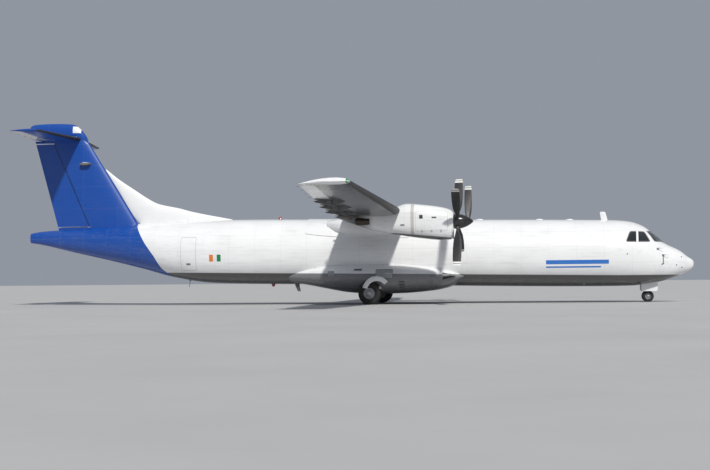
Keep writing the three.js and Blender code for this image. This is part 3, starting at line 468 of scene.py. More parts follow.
def shade_from(mesh, normals, known):
    """Faces that lie along the skin take its normals and are told apart, and cut faces keep their edges."""
    corner_points = values_of(mesh.loops, "vertex_index", kind=np.int32)
    sizes = values_of(mesh.polygons, "loop_total", kind=np.int32)
    starts = values_of(mesh.polygons, "loop_start", kind=np.int32)
    flat = np.repeat(values_of(mesh.polygons, "normal", 3), sizes, axis=0)
    round_ones = normals[corner_points]
    along = known[corner_points] & ((flat * round_ones).sum(axis=1) > CLOSE_TO_SKIN)
    mesh.shade_smooth()
    mesh.set_sharp_from_angle(angle=math.radians(SOLID_ANGLE))
    corners = values_of(mesh.corner_normals, "vector", 3)
    mesh.normals_split_custom_set(np.where(along[:, None], round_ones, corners))
    return np.logical_and.reduceat(along, starts)


# Planes that cut the solids' faces finer


def spread(start, end, step):
    """Values between two ends, about a step apart."""
    count = max(1, round((end - start) / step))
    return [start + (end - start) * (k + 0.5) / count for k in range(count)]


def planes_of(values, normal):
    return [(normal * value, normal) for value in values]


def stations(*places):
    """Upright planes square to the body."""
    return [(place(s, 0, 0), ALONG) for s in places]


def planes_across(start, end, step):
    return stations(*spread(start, end, step))


def radial_planes(count, z, y=0.0):
    """Planes through a line along the body, which share the way round it evenly."""
    angles = [math.pi * (k + 0.5) / count for k in range(count)]
    return [(Vector((0, y, z)), Vector((0, math.cos(a), math.sin(a)))) for a in angles]


def chord_planes(root, tip, shares, upright=False):
    """Planes along the span that cut an aerofoil at shares of its chord, on both sides of the body."""
    planes = []
    for share in shares:
        ends = [(row[1] + share * row[2], row[0]) for row in (root, tip)]
        for side in (1,) if upright else (1, -1):
            points = [place(s, 0, span) if upright else place(s, side * span, 0) for s, span in ends]
            width = ACROSS if upright else UP
            planes.append((points[0], (points[1] - points[0]).cross(width).normalized()))
    return planes
# Solids for new pieces


def circle(sides, start=0.0):
    return [start + 2 * math.pi * k / sides for k in range(sides)]


def add_strips(bm, rings, caps=True, kinds=None):
    """Joins rings of equal length by faces and closes the ends. `kinds` is the material of each strip."""
    rows = [[bm.verts.new(point) for point in ring] for ring in rings]
    for i, (near, far) in enumerate(zip(rows, rows[1:])):
        for k, corner in enumerate(near):
            after = (k + 1) % len(near)
            face = bm.faces.new((corner, near[after], far[after], far[k]))
            face.material_index = kinds[i] if kinds else 0
    if caps:
        for row, kind in ((rows[0], 0), (rows[-1], -1)):
            bm.faces.new(row).material_index = kinds[kind] if kinds else 0


def add_tube(bm, points, radii, sides=20, kind=0):
    """A round tube along some points. `radii` is one radius or one for each point."""
    points = [Vector(point) for point in points]
    radii = radii if isinstance(radii, (list, tuple)) else [radii] * len(points)
    across = (points[1] - points[0]).orthogonal().normalized()
    rings = []
    for index, (point, radius) in enumerate(zip(points, radii)):
        way = (points[min(index + 1, len(points) - 1)] - points[max(index - 1, 0)]).normalized()
        across = (across - way * across.dot(way)).normalized()
        other = way.cross(across)
        rings.append([point + radius * (math.cos(a) * across + math.sin(a) * other) for a in circle(sides)])
    add_strips(bm, rings, kinds=[kind] * len(rings))


def add_spun(bm, profile, centre, axis, sides=64, kinds=None):
    """Turns a profile of (radius, distance along the axis) all the way round the axis."""
    turn = UP.rotation_difference(axis)
    rings = []
    for radius, along in profile:
        points = [Vector((radius * math.cos(a), radius * math.sin(a), along)) for a in circle(sides)]
        rings.append([centre + turn @ point for point in points])
    add_strips(bm, rings, caps=False, kinds=kinds)


def add_sector(bm, section, centre, start, end, steps):
    """Sweeps a closed section of (radius, distance across the body) about a line across the body."""
    rings = []
    for k in range(steps + 1):
        angle = math.radians(start + (end - start) * k / steps)
        rings.append([centre + Vector((-r * math.cos(angle), y, r * math.sin(angle))) for r, y in section])
    add_strips(bm, rings)


def sized(centre, size):
    return Matrix.Translation(centre) @ Matrix.Diagonal((*size, 1))


def add_block(bm, centre, size, bevel, kind=0):
    """A block with softened edges."""
    made = bmesh.ops.create_cube(bm, size=1.0, matrix=sized(centre, size))["verts"]
    edges = {edge for vert in made for edge in vert.link_edges}
    done = bmesh.ops.bevel(bm, geom=list(edges), offset=bevel, segments=2, affect="EDGES", profile=0.5)
    for face in {face for vert in done["verts"] for face in vert.link_faces}:
        face.material_index = kind


def add_dome(bm, centre, size, kind=0):
    """An egg-shaped bump whose three half widths are `size`."""
    before = set(bm.faces)
    bmesh.ops.create_uvsphere(bm, u_segments=24, v_segments=12, radius=1.0, matrix=sized(centre, size))
    for face in set(bm.faces) - before:
        face.material_index = kind


def rounded_outline(corners, radius, steps=5):
    """A closed outline with its corners rounded."""
    outline = []
    for index, corner in enumerate(corners):
        here, before = Vector(corner), Vector(corners[index - 1])
        after = Vector(corners[(index + 1) % len(corners)])
        start = here + (before - here).normalized() * radius
        end = here + (after - here).normalized() * radius
        for k in range(steps + 1):
            t = k / steps
            outline.append((1 - t) ** 2 * start + 2 * t * (1 - t) * here + t * t * end)
    return outline


def skin_ring(skin, station, sides, grow=0.0, beyond=0.0, share=1.0):
    """A ring on a rounded skin. It may lie `beyond` its station, drawn in to a share of its size."""
    half, top, bottom, middle = (float(value) for value in skin.section(np.array(station)))
    ring = []
    for angle in circle(sides):
        across, up = math.cos(angle), math.sin(angle)
        power = 2 / skin.powers[0 if up >= 0 else 1]
        height = (top - middle if up >= 0 else middle - bottom) + grow
        y = math.copysign(abs(across) ** power, across) * (half + grow) * share
        z = math.copysign(abs(up) ** power, up) * height * share
        ring.append(place(float(station) + beyond, skin.y + y, middle + z))
    return ring


def box_outline(low_s, high_s, low_z, high_z):
    return [(low_s, low_z), (high_s, low_z), (high_s, high_z), (low_s, high_z)]


def flat_sheet(outline, step=0.12):
    """A flat outline cut into a grid, standing in X and Z."""
    bm = bmesh.new()
    bm.faces.new([bm.verts.new((point[0], 0.0, point[1])) for point in outline])
    for axis, way in ((0, ALONG), (1, UP)):
        values = [point[axis] for point in outline]
        cuts = np.arange(min(values) + step, max(values), step)
        cut_by(bm, planes_of([float(value) for value in cuts], way))
    return bm


def flat_band(outline, width, step=0.08):
    """A flat band of some width along a closed outline, standing in X and Z."""
    path = []
    for here, after in zip(outline, [*outline[1:], outline[0]]):
        here, after = Vector(here), Vector(after)
        count = max(1, round((after - here).length / step))
        path += [here.lerp(after, k / count) for k in range(count)]
    bm = bmesh.new()
    pairs = []
    for index, here in enumerate(path):
        way = (path[(index + 1) % len(path)] - path[index - 1]).normalized()
        aside = Vector((-way.y, way.x)) * width / 2
        pairs.append([bm.verts.new((p.x, 0.0, p.y)) for p in (here - aside, here + aside)])
    for here, after in zip(pairs, [*pairs[1:], pairs[0]]):
        bm.faces.new((here[0], after[0], after[1], here[1]))
    return bm


def side_points(skin, side):
    """Lays flat points of (station, height) on one side of a skin."""
    def lay(flat):
        across = skin.y + side * skin.side(flat[:, 0], flat[:, 1])
        return skin, np.stack([NOSE_X - flat[:, 0], across, flat[:, 1]], axis=1)
    return lay


def front_points(skin, side):
    """Lays flat points of (distance out, height) on the front of a skin."""
    def lay(flat):
        y = skin.y + side * flat[:, 0]
        return skin, np.stack([NOSE_X - skin.front(y, flat[:, 1]), y, flat[:, 1]], axis=1)
    return lay


def add_laid(bm, flat, lay, rise, sink=0.004, kind=0):
    """Lays flat faces on a skin as a plate, from `sink` inside it to `rise` outside."""
    made = bmesh.ops.extrude_face_region(flat, geom=flat.faces[:])["geom"]
    raised = {item for item in made if isinstance(item, bmesh.types.BMVert)}
    verts = flat.verts[:]
    skin, points = lay(np.array([(vert.co.x, vert.co.z) for vert in verts]))
    shift = np.array([rise if vert in raised else -sink for vert in verts])
    points = points + skin.normal(points) * shift[:, None]
    for vert, point in zip(verts, points):
        vert.co = point
    for face in flat.faces:
        face.material_index = kind
    take_in(bm, mesh_of(flat, "plate"))


def skin_point(lay, flat, lift=0.0, ahead=0.0):
    """One flat point laid on a skin, then lifted off it and moved towards the nose."""
    skin, point = lay(np.array([flat]))
    return Vector((point + lift * skin.normal(point))[0]) + Vector((ahead, 0, 0))


def disc_outline(spot, radius, sides=20):
    return [(spot[0] + radius * math.cos(a), spot[1] + radius * math.sin(a)) for a in circle(sides)]


# Repeated studs, wicks and rollers


def repeat_tree(name, on_circle):
    """A row, or a ring, of equal tapered rods, each turned by Turn. The ring lies square to Z."""
    tree = bpy.data.node_groups.new(name, "GeometryNodeTree")
    kinds = [("Int", "Count", 8), ("Float", "Ring Radius", 0.1), ("Vector", "Start", None),
             ("Vector", "End", None), ("Vector", "Turn", None), ("Float", "Foot", 0.01),
             ("Float", "Tip", 0.01), ("Float", "Length", 0.02), ("Material", "Material", None)]
    sockets = {}
    for kind, label, default in kinds:
        sockets[label] = tree.interface.new_socket(label, in_out="INPUT", socket_type="NodeSocket" + kind)
        if default is not None:
            sockets[label].default_value = default
    tree.interface.new_socket("Geometry", in_out="OUTPUT", socket_type="NodeSocketGeometry")
    got = tree.nodes.new("NodeGroupInput").outputs
    if on_circle:
        places = add(tree, "GeometryNodeMeshCircle", {"Vertices": got["Count"], "Radius": got["Ring Radius"]})
    else:
        values = {"Count": got["Count"], "Start Location": got["Start"], "Offset": got["End"]}
        places = add(tree, "GeometryNodeMeshLine", values, mode="END_POINTS")
    values = {"Vertices": 10, "Radius Bottom": got["Foot"], "Radius Top": got["Tip"], "Depth": got["Length"]}
    rod = add(tree, "GeometryNodeMeshCone", values)
    values = {"Points": places.outputs["Mesh"], "Instance": rod.outputs["Mesh"], "Rotation": got["Turn"]}
    spread_out = add(tree, "GeometryNodeInstanceOnPoints", values)
    real = add(tree, "GeometryNodeRealizeInstances", {0: spread_out.outputs[0]})
    shown = add(tree, "GeometryNodeSetMaterial", {"Geometry": real.outputs[0], "Material": got["Material"]})
    tree.links.new(shown.outputs[0], tree.nodes.new("NodeGroupOutput").inputs[0])
    return tree, {label: socket.identifier for label, socket in sockets.items()}


def repeated(kit, material, matrix=None, **values):
    """The mesh of one row or ring, moved by `matrix`."""
    tree, names = kit
    host = new_object("repeat_host", bpy.data.meshes.new("repeat_host"))
    modifier = host.modifiers.new("repeat", "NODES")
    modifier.node_group = tree
    modifier[names["Material"]] = material
    for key, value in values.items():
        modifier[names[key.replace("_", " ").title()]] = value
    bpy.context.view_layer.update()
    depsgraph = bpy.context.evaluated_depsgraph_get()
    mesh = bpy.data.meshes.new_from_object(host.evaluated_get(depsgraph), depsgraph=depsgraph)
    if matrix:
        mesh.transform(matrix)
    bpy.data.objects.remove(host)
    return mesh


def piece_of_meshes(name, meshes, body, slot, *materials, angle=30):
    bm = bmesh.new()
    for mesh in meshes:
        take_in(bm, mesh)
    piece_from(name, bm, body, slot, *materials, angle=angle)


# Shader groups: what several finishes share
def feed(tree, node, inputs):
    """Gives a node's inputs their values, or links them to other nodes' outputs."""
    for key, value in dict(inputs).items():
        if isinstance(value, bpy.types.NodeSocket):
            tree.links.new(value, node.inputs[key])
        else:
            node.inputs[key].default_value = value


def add(tree, kind, inputs=(), **settings):
    """A node with its settings and inputs."""
    made = tree.nodes.new(kind)
    for key, value in settings.items():
        setattr(made, key, value)
    feed(tree, made, inputs)
    return made


def math_of(tree, operation, *values, clamp=False):
    return add(tree, "ShaderNodeMath", enumerate(values), operation=operation, use_clamp=clamp).outputs[0]


def plus(tree, one, other, clamp=False):
    return math_of(tree, "ADD", one, other, clamp=clamp)


def minus(tree, one, other, clamp=False):
    return math_of(tree, "SUBTRACT", one, other, clamp=clamp)


def times(tree, one, other, clamp=False):
    return math_of(tree, "MULTIPLY", one, other, clamp=clamp)


def group_tree(name, inputs, outputs):
    tree = bpy.data.node_groups.new(name, "ShaderNodeTree")
    for kind, label, default in inputs:
        socket = tree.interface.new_socket(label, in_out="INPUT", socket_type="NodeSocket" + kind)
        if default is not None:
            socket.default_value = default
    for kind, label in outputs:
        tree.interface.new_socket(label, in_out="OUTPUT", socket_type="NodeSocket" + kind)
    return tree, tree.nodes.new("NodeGroupInput").outputs, tree.nodes.new("NodeGroupOutput").inputs


def noise(tree, position, scale, detail=4.0, roughness=0.55):
    values = {"Vector": position, "Scale": scale, "Detail": detail, "Roughness": roughness}
    return add(tree, "ShaderNodeTexNoise", values).outputs["Fac"]


def ramp(tree, value, low, high):
    values = {"Value": value, "From Min": low, "From Max": high}
    return add(tree, "ShaderNodeMapRange", values, clamp=True).outputs["Result"]


def stretched(tree, position, scale):
    return add(tree, "ShaderNodeVectorMath", {0: position, 1: scale}, operation="MULTIPLY").outputs[0]


def make_weathering():
    """Dirt blown aft along the skin, and the film of grime between the streaks."""
    inputs = [("Vector", "Position", None), ("Float", "Streak", 0.5), ("Float", "Film", 0.5)]
    tree, got, out = group_tree("weathering", inputs, [("Float", "Dirt"), ("Float", "Gloss Loss")])
    blown = noise(tree, stretched(tree, got["Position"], (0.5, 6.0, 7.0)), 2.2, 7.0, 0.62)
    film = noise(tree, got["Position"], 0.9, 6.0, 0.6)
    streaks = times(tree, ramp(tree, blown, 0.52, 0.74), got["Streak"])
    patches = times(tree, ramp(tree, film, 0.42, 0.75), got["Film"])
    dirt = plus(tree, streaks, patches, clamp=True)
    tree.links.new(dirt, out["Dirt"])
    tree.links.new(times(tree, dirt, 0.35), out["Gloss Loss"])
    return tree


def make_panel_lines():
    """Lap joints square to the body every Pitch metres and along it every Rise, with rivets beside them."""
    inputs = [("Vector", "Position", None), ("Float", "Pitch", 1.06), ("Float", "Rise", 0.62),
              ("Float", "Width", 0.007)]
    tree, got, out = group_tree("panel_lines", inputs, [("Float", "Line"), ("Float", "Rivet")])
    parts = add(tree, "ShaderNodeSeparateXYZ", {0: got["Position"]}).outputs
    gaps = []
    for value, step in ((parts["X"], got["Pitch"]), (parts["Z"], got["Rise"])):
        share = math_of(tree, "FRACT", math_of(tree, "DIVIDE", value, step))
        off_line = math_of(tree, "ABSOLUTE", minus(tree, share, 0.5))
        gaps.append(times(tree, off_line, step))
    near = math_of(tree, "MINIMUM", *gaps)
    line = minus(tree, 1.0, math_of(tree, "DIVIDE", near, got["Width"]), clamp=True)
    tree.links.new(line, out["Line"])
    beside = math_of(tree, "ABSOLUTE", minus(tree, near, 0.022))
    band = math_of(tree, "LESS_THAN", beside, 0.006)
    dots = add(tree, "ShaderNodeTexVoronoi", {"Vector": got["Position"], "Scale": 24.0, "Randomness": 0.0})
    dot = math_of(tree, "LESS_THAN", dots.outputs["Distance"], 0.22)
    tree.links.new(times(tree, band, dot), out["Rivet"])
    return tree


def make_paint_skin():
    """The slight waviness of painted sheet and its fine orange peel."""
    tree, got, out = group_tree("paint_skin", [("Vector", "Position", None)], [("Float", "Height")])
    wave = noise(tree, got["Position"], 1.6, 2.0, 0.4)
    peel = noise(tree, got["Position"], 180.0, 2.0, 0.5)
    height = math_of(tree, "MULTIPLY_ADD", wave, 1.0, times(tree, peel, 0.02))
    tree.links.new(height, out["Height"])
    return tree


STUD_RING = repeat_tree("stud_ring", True)
ROD_ROW = repeat_tree("rod_row", False)
WEATHERING = make_weathering()
PANEL_LINES = make_panel_lines()
PAINT_SKIN = make_paint_skin()


def new_material(name):
    material = bpy.data.materials.new(name)
    material.use_nodes = True
    tree = material.node_tree
    shader = tree.nodes["Principled BSDF"]
    position = tree.nodes.new("ShaderNodeTexCoord").outputs["Object"]
    return material, tree, shader, position


def mixed(tree, amount, below, above):
    return add(tree, "ShaderNodeMix", {0: amount, 6: below, 7: above}, data_type="RGBA").outputs[2]


def grouped(tree, group, position, **values):
    """The outputs of a shared group."""
    inputs = {"Position": position, **{key.title(): value for key, value in values.items()}}
    return add(tree, "ShaderNodeGroup", inputs, node_tree=group).outputs
def bumped(tree, shader, height, strength, distance):
    bump = add(tree, "ShaderNodeBump", {"Height": height, "Strength": strength, "Distance": distance})
    tree.links.new(bump.outputs["Normal"], shader.inputs["Normal"])


def colour(*rgb):
    return (*rgb, 1.0)


WHITE = colour(0.86, 0.87, 0.88)
# Grey belly paint, made as dark as the belly looks in shade, so partly painted shade. On the nacelles' undersides
# it is painted shade only.
BELLY_GREY_AND_PAINTED_SHADE = colour(0.1, 0.1, 0.103)
GLASS_SMEAR = colour(0.46, 0.48, 0.5)
TAIL_BLUE = colour(0.004, 0.068, 0.36)
STRIPE_BLUE = colour(0.015, 0.17, 0.6)
SOOT = colour(0.2, 0.185, 0.165)
LINE_GREY = colour(0.3, 0.31, 0.33)


def station_and_height(tree, position):
    parts = add(tree, "ShaderNodeSeparateXYZ", {0: position}).outputs
    return minus(tree, NOSE_X, parts["X"]), parts["Z"]
def steps(tree, value, start, rows):
    """start plus a climb for each row of (from, to, climb)."""
    total = None
    for low, high, climb in rows:
        rise = times(tree, ramp(tree, value, low, high), climb)
        total = plus(tree, rise, start if total is None else total)
    return total


def inside_box(tree, station, height, box):
    """1 inside a box of stations and heights."""
    low_s, high_s, low_z, high_z = box
    checks = [math_of(tree, "GREATER_THAN", station, low_s), math_of(tree, "LESS_THAN", station, high_s),
              math_of(tree, "GREATER_THAN", height, low_z), math_of(tree, "LESS_THAN", height, high_z)]
    whole = checks[0]
    for check in checks[1:]:
        whole = times(tree, whole, check)
    return whole


# Relief of paint: how deep a panel line cuts, how proud a rivet is, the strength and depth of the whole
RELIEF = {"line": -0.6, "rivet": 0.2, "strength": 0.35, "depth": 0.0022}
RIVET_SHADE = 0.5
COAT_ROUGHNESS = 0.08


def paint(name, choose, lines, pitch=1.06, rise=0.62, streak=0.3, film=0.12, rough=0.25, coat=0.35):
    """Gloss paint. `choose(tree, position)` gives the clean colour."""
    material, tree, shader, position = new_material(name)
    dirt = grouped(tree, WEATHERING, position, streak=streak, film=film)
    seams = grouped(tree, PANEL_LINES, position, pitch=pitch, rise=rise)
    skin = grouped(tree, PAINT_SKIN, position)
    dirty = mixed(tree, dirt["Dirt"], choose(tree, position), SOOT)
    rivets = times(tree, seams["Rivet"], RIVET_SHADE)
    faint = times(tree, plus(tree, seams["Line"], rivets), lines, clamp=True)
    feed(tree, shader, {"Base Color": mixed(tree, faint, dirty, LINE_GREY),
                        "Roughness": plus(tree, dirt["Gloss Loss"], rough),
                        "Coat Weight": coat, "Coat Roughness": COAT_ROUGHNESS})
    cut = times(tree, seams["Line"], RELIEF["line"])
    proud = times(tree, seams["Rivet"], RELIEF["rivet"])
    height = plus(tree, skin["Height"], plus(tree, cut, proud))
    bumped(tree, shader, height, RELIEF["strength"], RELIEF["depth"])
    return material
# Station of the blue tail's front edge: start, then the climb over each stretch of height
TAIL_EDGE = {"start": 20.7, "rows": ((0.95, 1.25, 0.29), (1.25, 1.52, 0.28), (1.52, 2.0, 0.26),
                                     (2.0, 2.53, 0.39), (2.53, 3.08, 0.36), (3.08, 3.36, 0.17))}
FIN_EDGE = {"start": 22.48, "rows": ((3.36, 6.9, 2.2),)}
BELLY_LINE = {"height": 1.06, "rows": ((3.0, 21.0, 0.27),)}
FORWARD_BARS = ((3.35, 5.75, 1.5, 1.66), (3.65, 5.75, 1.36, 1.42))
FLAG = {"aft": 19.15, "fore": 18.67, "low": 1.75, "high": 2.03}
FLAG_COLOURS = (colour(0.75, 0.2, 0.02), colour(0.8, 0.81, 0.82), colour(0.0, 0.22, 0.07))
# Half the width over which an edge of the blue tail, or a line along the body, changes its colour
TAIL_BLUR = 0.006
LINE_BLUR = 0.01
# Painted shade in the rudder's hinge gap: its station by height, how wide it is fully dark and where it fades out
HINGE_GAP_SHADE = {"start": 24.56, "rows": ((3.255, 6.9, 1.622),), "dark": 0.01, "end": 0.022}
HINGE_GAP_SHADE_BLUE = colour(0.002, 0.008, 0.035)
# Nacelle: the worn joint band, the line under which the underside is painted as shade, where the dark tail of soot
# and painted shade starts and ends, and the soot's fade
NACELLE_BAND = (10.6, 10.72, 2.6, 3.75)
BAND_WORN = colour(0.33, 0.29, 0.25)
NACELLE_SHADE_LINE = {"height": 2.49, "rows": ((9.2, 11.3, 0.2),)}
SOOT_AND_SHADE_TAIL = (12.1, 12.7)
SOOT_AND_SHADE_GREY = colour(0.05, 0.05, 0.052)
SOOT_TRAIL = (12.3, 13.4)
HEAD_PATCH = (24.95, 25.28, 7.22, 7.5)
# Grey of the gear fairing's lower part: partly grey paint, partly painted shade
FAIRING_GREY_AND_PAINTED_SHADE = colour(0.2, 0.205, 0.215)


def plain(shade):
    return lambda tree, position: shade


def below_line(tree, station, height, line):
    """1 under a line of heights that climbs along the body."""
    level = steps(tree, station, line["height"], line["rows"])
    return ramp(tree, minus(tree, level, height), -LINE_BLUR, LINE_BLUR)


def behind_edge(tree, station, height, edge):
    """1 aft of an edge whose station grows with height."""
    start = steps(tree, height, edge["start"], edge["rows"])
    return ramp(tree, minus(tree, station, start), -TAIL_BLUR, TAIL_BLUR)


def hinge_seam(tree, station, height, shown):
    """Painted shade: a dark line along the rudder's hinge gap."""
    line = steps(tree, height, HINGE_GAP_SHADE["start"], HINGE_GAP_SHADE["rows"])
    away = math_of(tree, "ABSOLUTE", minus(tree, station, line))
    near = minus(tree, 1.0, ramp(tree, away, HINGE_GAP_SHADE["dark"], HINGE_GAP_SHADE["end"]))
    return mixed(tree, near, shown, HINGE_GAP_SHADE_BLUE)


def body_colours(tree, position):
    """White over a grey belly that is made dark as painted shade, with the bars, the flag and the blue tail."""
    station, height = station_and_height(tree, position)
    # Under the belly line: grey paint darkened with painted shade
    shown = mixed(tree, below_line(tree, station, height, BELLY_LINE), WHITE, BELLY_GREY_AND_PAINTED_SHADE)
    for bar in FORWARD_BARS:
        shown = mixed(tree, inside_box(tree, station, height, bar), shown, STRIPE_BLUE)
    width = (FLAG["aft"] - FLAG["fore"]) / len(FLAG_COLOURS)
    for index, shade in enumerate(FLAG_COLOURS):
        aft = FLAG["aft"] - index * width
        box = (aft - width, aft, FLAG["low"], FLAG["high"])
        shown = mixed(tree, inside_box(tree, station, height, box), shown, shade)
    return mixed(tree, behind_edge(tree, station, height, TAIL_EDGE), shown, TAIL_BLUE)


def fin_colours(tree, position):
    station, height = station_and_height(tree, position)
    shown = mixed(tree, behind_edge(tree, station, height, FIN_EDGE), WHITE, TAIL_BLUE)
    return hinge_seam(tree, station, height, shown)


def rudder_colours(tree, position):
    return hinge_seam(tree, *station_and_height(tree, position), TAIL_BLUE)


def nacelle_colours(tree, position):
    """White cowling with a worn joint band, an underside grey with painted shade, an aft end dark with soot and
    painted shade, and exhaust soot that trails aft of the pipe.
    """
    station, height = station_and_height(tree, position)
    worn = times(tree, inside_box(tree, station, height, NACELLE_BAND), 0.55)
    shown = mixed(tree, worn, WHITE, BAND_WORN)
    # Painted shade: the cowling's underside turns grey under a line that climbs aft
    shown = mixed(tree, below_line(tree, station, height, NACELLE_SHADE_LINE), shown, BELLY_GREY_AND_PAINTED_SHADE)
    # Soot and painted shade: the nacelle's aft end, under the wing, turns dark grey
    dark = times(tree, ramp(tree, station, *SOOT_AND_SHADE_TAIL), 0.88)
    shown = mixed(tree, dark, shown, SOOT_AND_SHADE_GREY)
    smoke = noise(tree, stretched(tree, position, (0.7, 3.0, 5.0)), 2.0, 6.0, 0.6)
    trail = times(tree, ramp(tree, station, *SOOT_TRAIL), ramp(tree, smoke, 0.35, 0.7))
    return mixed(tree, times(tree, trail, 0.6), shown, SOOT)


def head_colours(tree, position):
    patch = inside_box(tree, *station_and_height(tree, position), HEAD_PATCH)
    return mixed(tree, patch, TAIL_BLUE, WHITE)


def gear_fairing_colours(tree, position):
    # Under the belly line the fairing is grey, darkened as painted shade of its downward face
    below = below_line(tree, *station_and_height(tree, position), BELLY_LINE)
    return mixed(tree, below, WHITE, FAIRING_GREY_AND_PAINTED_SHADE)


# Paints. The tail and the wings have their own spacing of panel lines
TAIL_PANELS = {"pitch": 1.5, "rise": 0.9}
WING_PANELS = {"lines": 0.3, "pitch": 0.6, "rise": 9.0}
FAIRING_PANEL_LINES = {"pitch": 1.3, "rise": 0.8}
RUDDER_LOOK = {"streak": 0.05, "film": 0.03, "rough": 0.34, "coat": 0.2, **TAIL_PANELS}
BODY_PAINT = paint("body_paint", body_colours, 0.3, streak=0.22, film=0.08)
FIN_PAINT = paint("fin_paint", fin_colours, 0.2, streak=0.06, film=0.04, rough=0.36, coat=0.15, **TAIL_PANELS)
BLUE_PAINT = paint("tail_blue_paint", plain(TAIL_BLUE), 0.16, **RUDDER_LOOK)
RUDDER_PAINT = paint("rudder_paint", rudder_colours, 0.12, **RUDDER_LOOK)
HEAD_PAINT = paint("head_fairing_paint", head_colours, 0.16, streak=0.05, film=0.03, **TAIL_PANELS)
WING_PAINT = paint("wing_paint", plain(colour(0.78, 0.79, 0.8)), streak=0.25, **WING_PANELS)
# The undersides of the wing and flaps are painted dark grey as shade
WING_UNDER_PAINTED_SHADE = paint("wing_under_painted_shade", plain(colour(0.085, 0.088, 0.093)), streak=0.12, **WING_PANELS)
TAIL_UNDER_PAINT = paint("tail_under_paint", plain(colour(0.42, 0.43, 0.45)), 0.2, 0.7, 9.0, streak=0.1)
FAIRING_PAINT = paint("fairing_paint", plain(WHITE), 0.2, streak=0.18, **FAIRING_PANEL_LINES)
NACELLE_PAINT = paint("nacelle_paint", nacelle_colours, 0.35, pitch=0.75, rise=0.5, film=0.15)
GEAR_PAINT = paint("gear_fairing_paint", gear_fairing_colours, 0.25, streak=0.25, **FAIRING_PANEL_LINES)
def finish(name, base, rough, metallic=0.0, wear=0.0, wear_colour=SOOT, scale=6.0, bump=0.0, coat=0.0):
    """A plain hard finish with blotchy wear and a fine grain."""
    material, tree, shader, position = new_material(name)
    patches = noise(tree, position, scale, 6.0, 0.6)
    worn = times(tree, ramp(tree, patches, 0.45, 0.72), wear)
    grain = noise(tree, position, scale * 14, 3.0, 0.6)
    feed(tree, shader, {"Base Color": mixed(tree, worn, base, wear_colour),
                        "Roughness": math_of(tree, "MULTIPLY_ADD", grain, 0.16, rough - 0.08),
                        "Metallic": metallic, "Coat Weight": coat})
    if bump:
        bumped(tree, shader, grain, 0.5, bump)
    return material


def glass(name, tint):
    material, tree, shader, position = new_material(name)
    smear = ramp(tree, noise(tree, position, 3.0, 5.0, 0.6), 0.5, 0.8)
    smeared = mixed(tree, times(tree, smear, 0.08), tint, GLASS_SMEAR)
    feed(tree, shader, {"Base Color": smeared,
                        "Roughness": math_of(tree, "MULTIPLY_ADD", smear, 0.06, 0.03),
                        "Coat Weight": 1.0, "Coat Roughness": 0.02})
    return material


COCKPIT_GLASS = glass("cockpit_glass", colour(0.012, 0.015, 0.018))
LENS_GLASS = glass("lamp_glass", colour(0.5, 0.52, 0.54))
RED_LENS = glass("red_lamp_glass", colour(0.5, 0.01, 0.01))
GREEN_LENS = glass("green_lamp_glass", colour(0.0, 0.3, 0.08))
BOOT_RUBBER = finish("boot_rubber", colour(0.022, 0.022, 0.024), 0.5, wear=0.25,
                     wear_colour=colour(0.1, 0.1, 0.1))
BLADE_BLACK = finish("blade_black", colour(0.02, 0.02, 0.022), 0.42, wear=0.2,
                     wear_colour=colour(0.08, 0.08, 0.08))
TIP_WHITE = finish("blade_tip_white", colour(0.78, 0.78, 0.76), 0.4, wear=0.2)
BLADE_METAL = finish("blade_edge_metal", colour(0.5, 0.5, 0.52), 0.35, metallic=1.0, wear=0.2)
SPINNER_BLACK = finish("spinner_black", colour(0.012, 0.012, 0.014), 0.2, wear=0.15, coat=0.4)
TYRE_RUBBER = finish("tyre_rubber", colour(0.018, 0.018, 0.019), 0.82, wear=0.5,
                     wear_colour=colour(0.06, 0.057, 0.053), bump=0.0008)
HUB_GREY = finish("hub_grey", colour(0.42, 0.43, 0.45), 0.45, metallic=0.6, wear=0.35)
STEEL = finish("leg_steel", colour(0.55, 0.56, 0.58), 0.4, metallic=0.7, wear=0.3)
CHROME = finish("oleo_chrome", colour(0.75, 0.76, 0.78), 0.12, metallic=1.0, wear=0.1)
DARK_METAL = finish("brake_metal", colour(0.12, 0.115, 0.11), 0.6, metallic=0.7, wear=0.5)
HOSE_BLACK = finish("hose_black", colour(0.02, 0.02, 0.02), 0.55, wear=0.1)
EXHAUST_METAL = finish("exhaust_metal", colour(0.1, 0.08, 0.066), 0.5, metallic=0.8, wear=0.5,
                       wear_colour=colour(0.03, 0.028, 0.026))
TRIM_GREY = finish("trim_grey", colour(0.55, 0.56, 0.57), 0.45, wear=0.2)
# Near black standing in for the shade inside ducts, vents, grilles and the exhaust bore: painted shade
OPENING_SHADE_BLACK = finish("opening_shade_black", colour(0.012, 0.012, 0.012), 0.7, wear=0.2)
PLAIN_WHITE = finish("trim_white", colour(0.84, 0.85, 0.86), 0.3, wear=0.08, coat=0.4)
PANEL_GREY = finish("panel_grey", colour(0.36, 0.38, 0.4), 0.4, wear=0.25)
SEAL_GREY = finish("door_seal_grey", colour(0.16, 0.165, 0.17), 0.6, wear=0.2)
LINER = finish("hold_liner", colour(0.62, 0.62, 0.58), 0.6, wear=0.2, scale=2.0)
WELL_PRIMER = finish("well_primer", colour(0.35, 0.38, 0.3), 0.6, wear=0.4)
FLOOR_PANEL = finish("hold_floor", colour(0.3, 0.31, 0.31), 0.5, metallic=0.3, wear=0.4)
# The skins of the airframe and its moving surfaces


def ahead_of(shape, limit):
    """A test for faces whose middle lies in the first `limit` of the chord."""
    return lambda middles: shape.local(middles)[2] < limit


def under(shape):
    """A test for faces whose middle lies below an aerofoil's middle line."""
    return lambda middles: shape.local(middles)[3] < 0


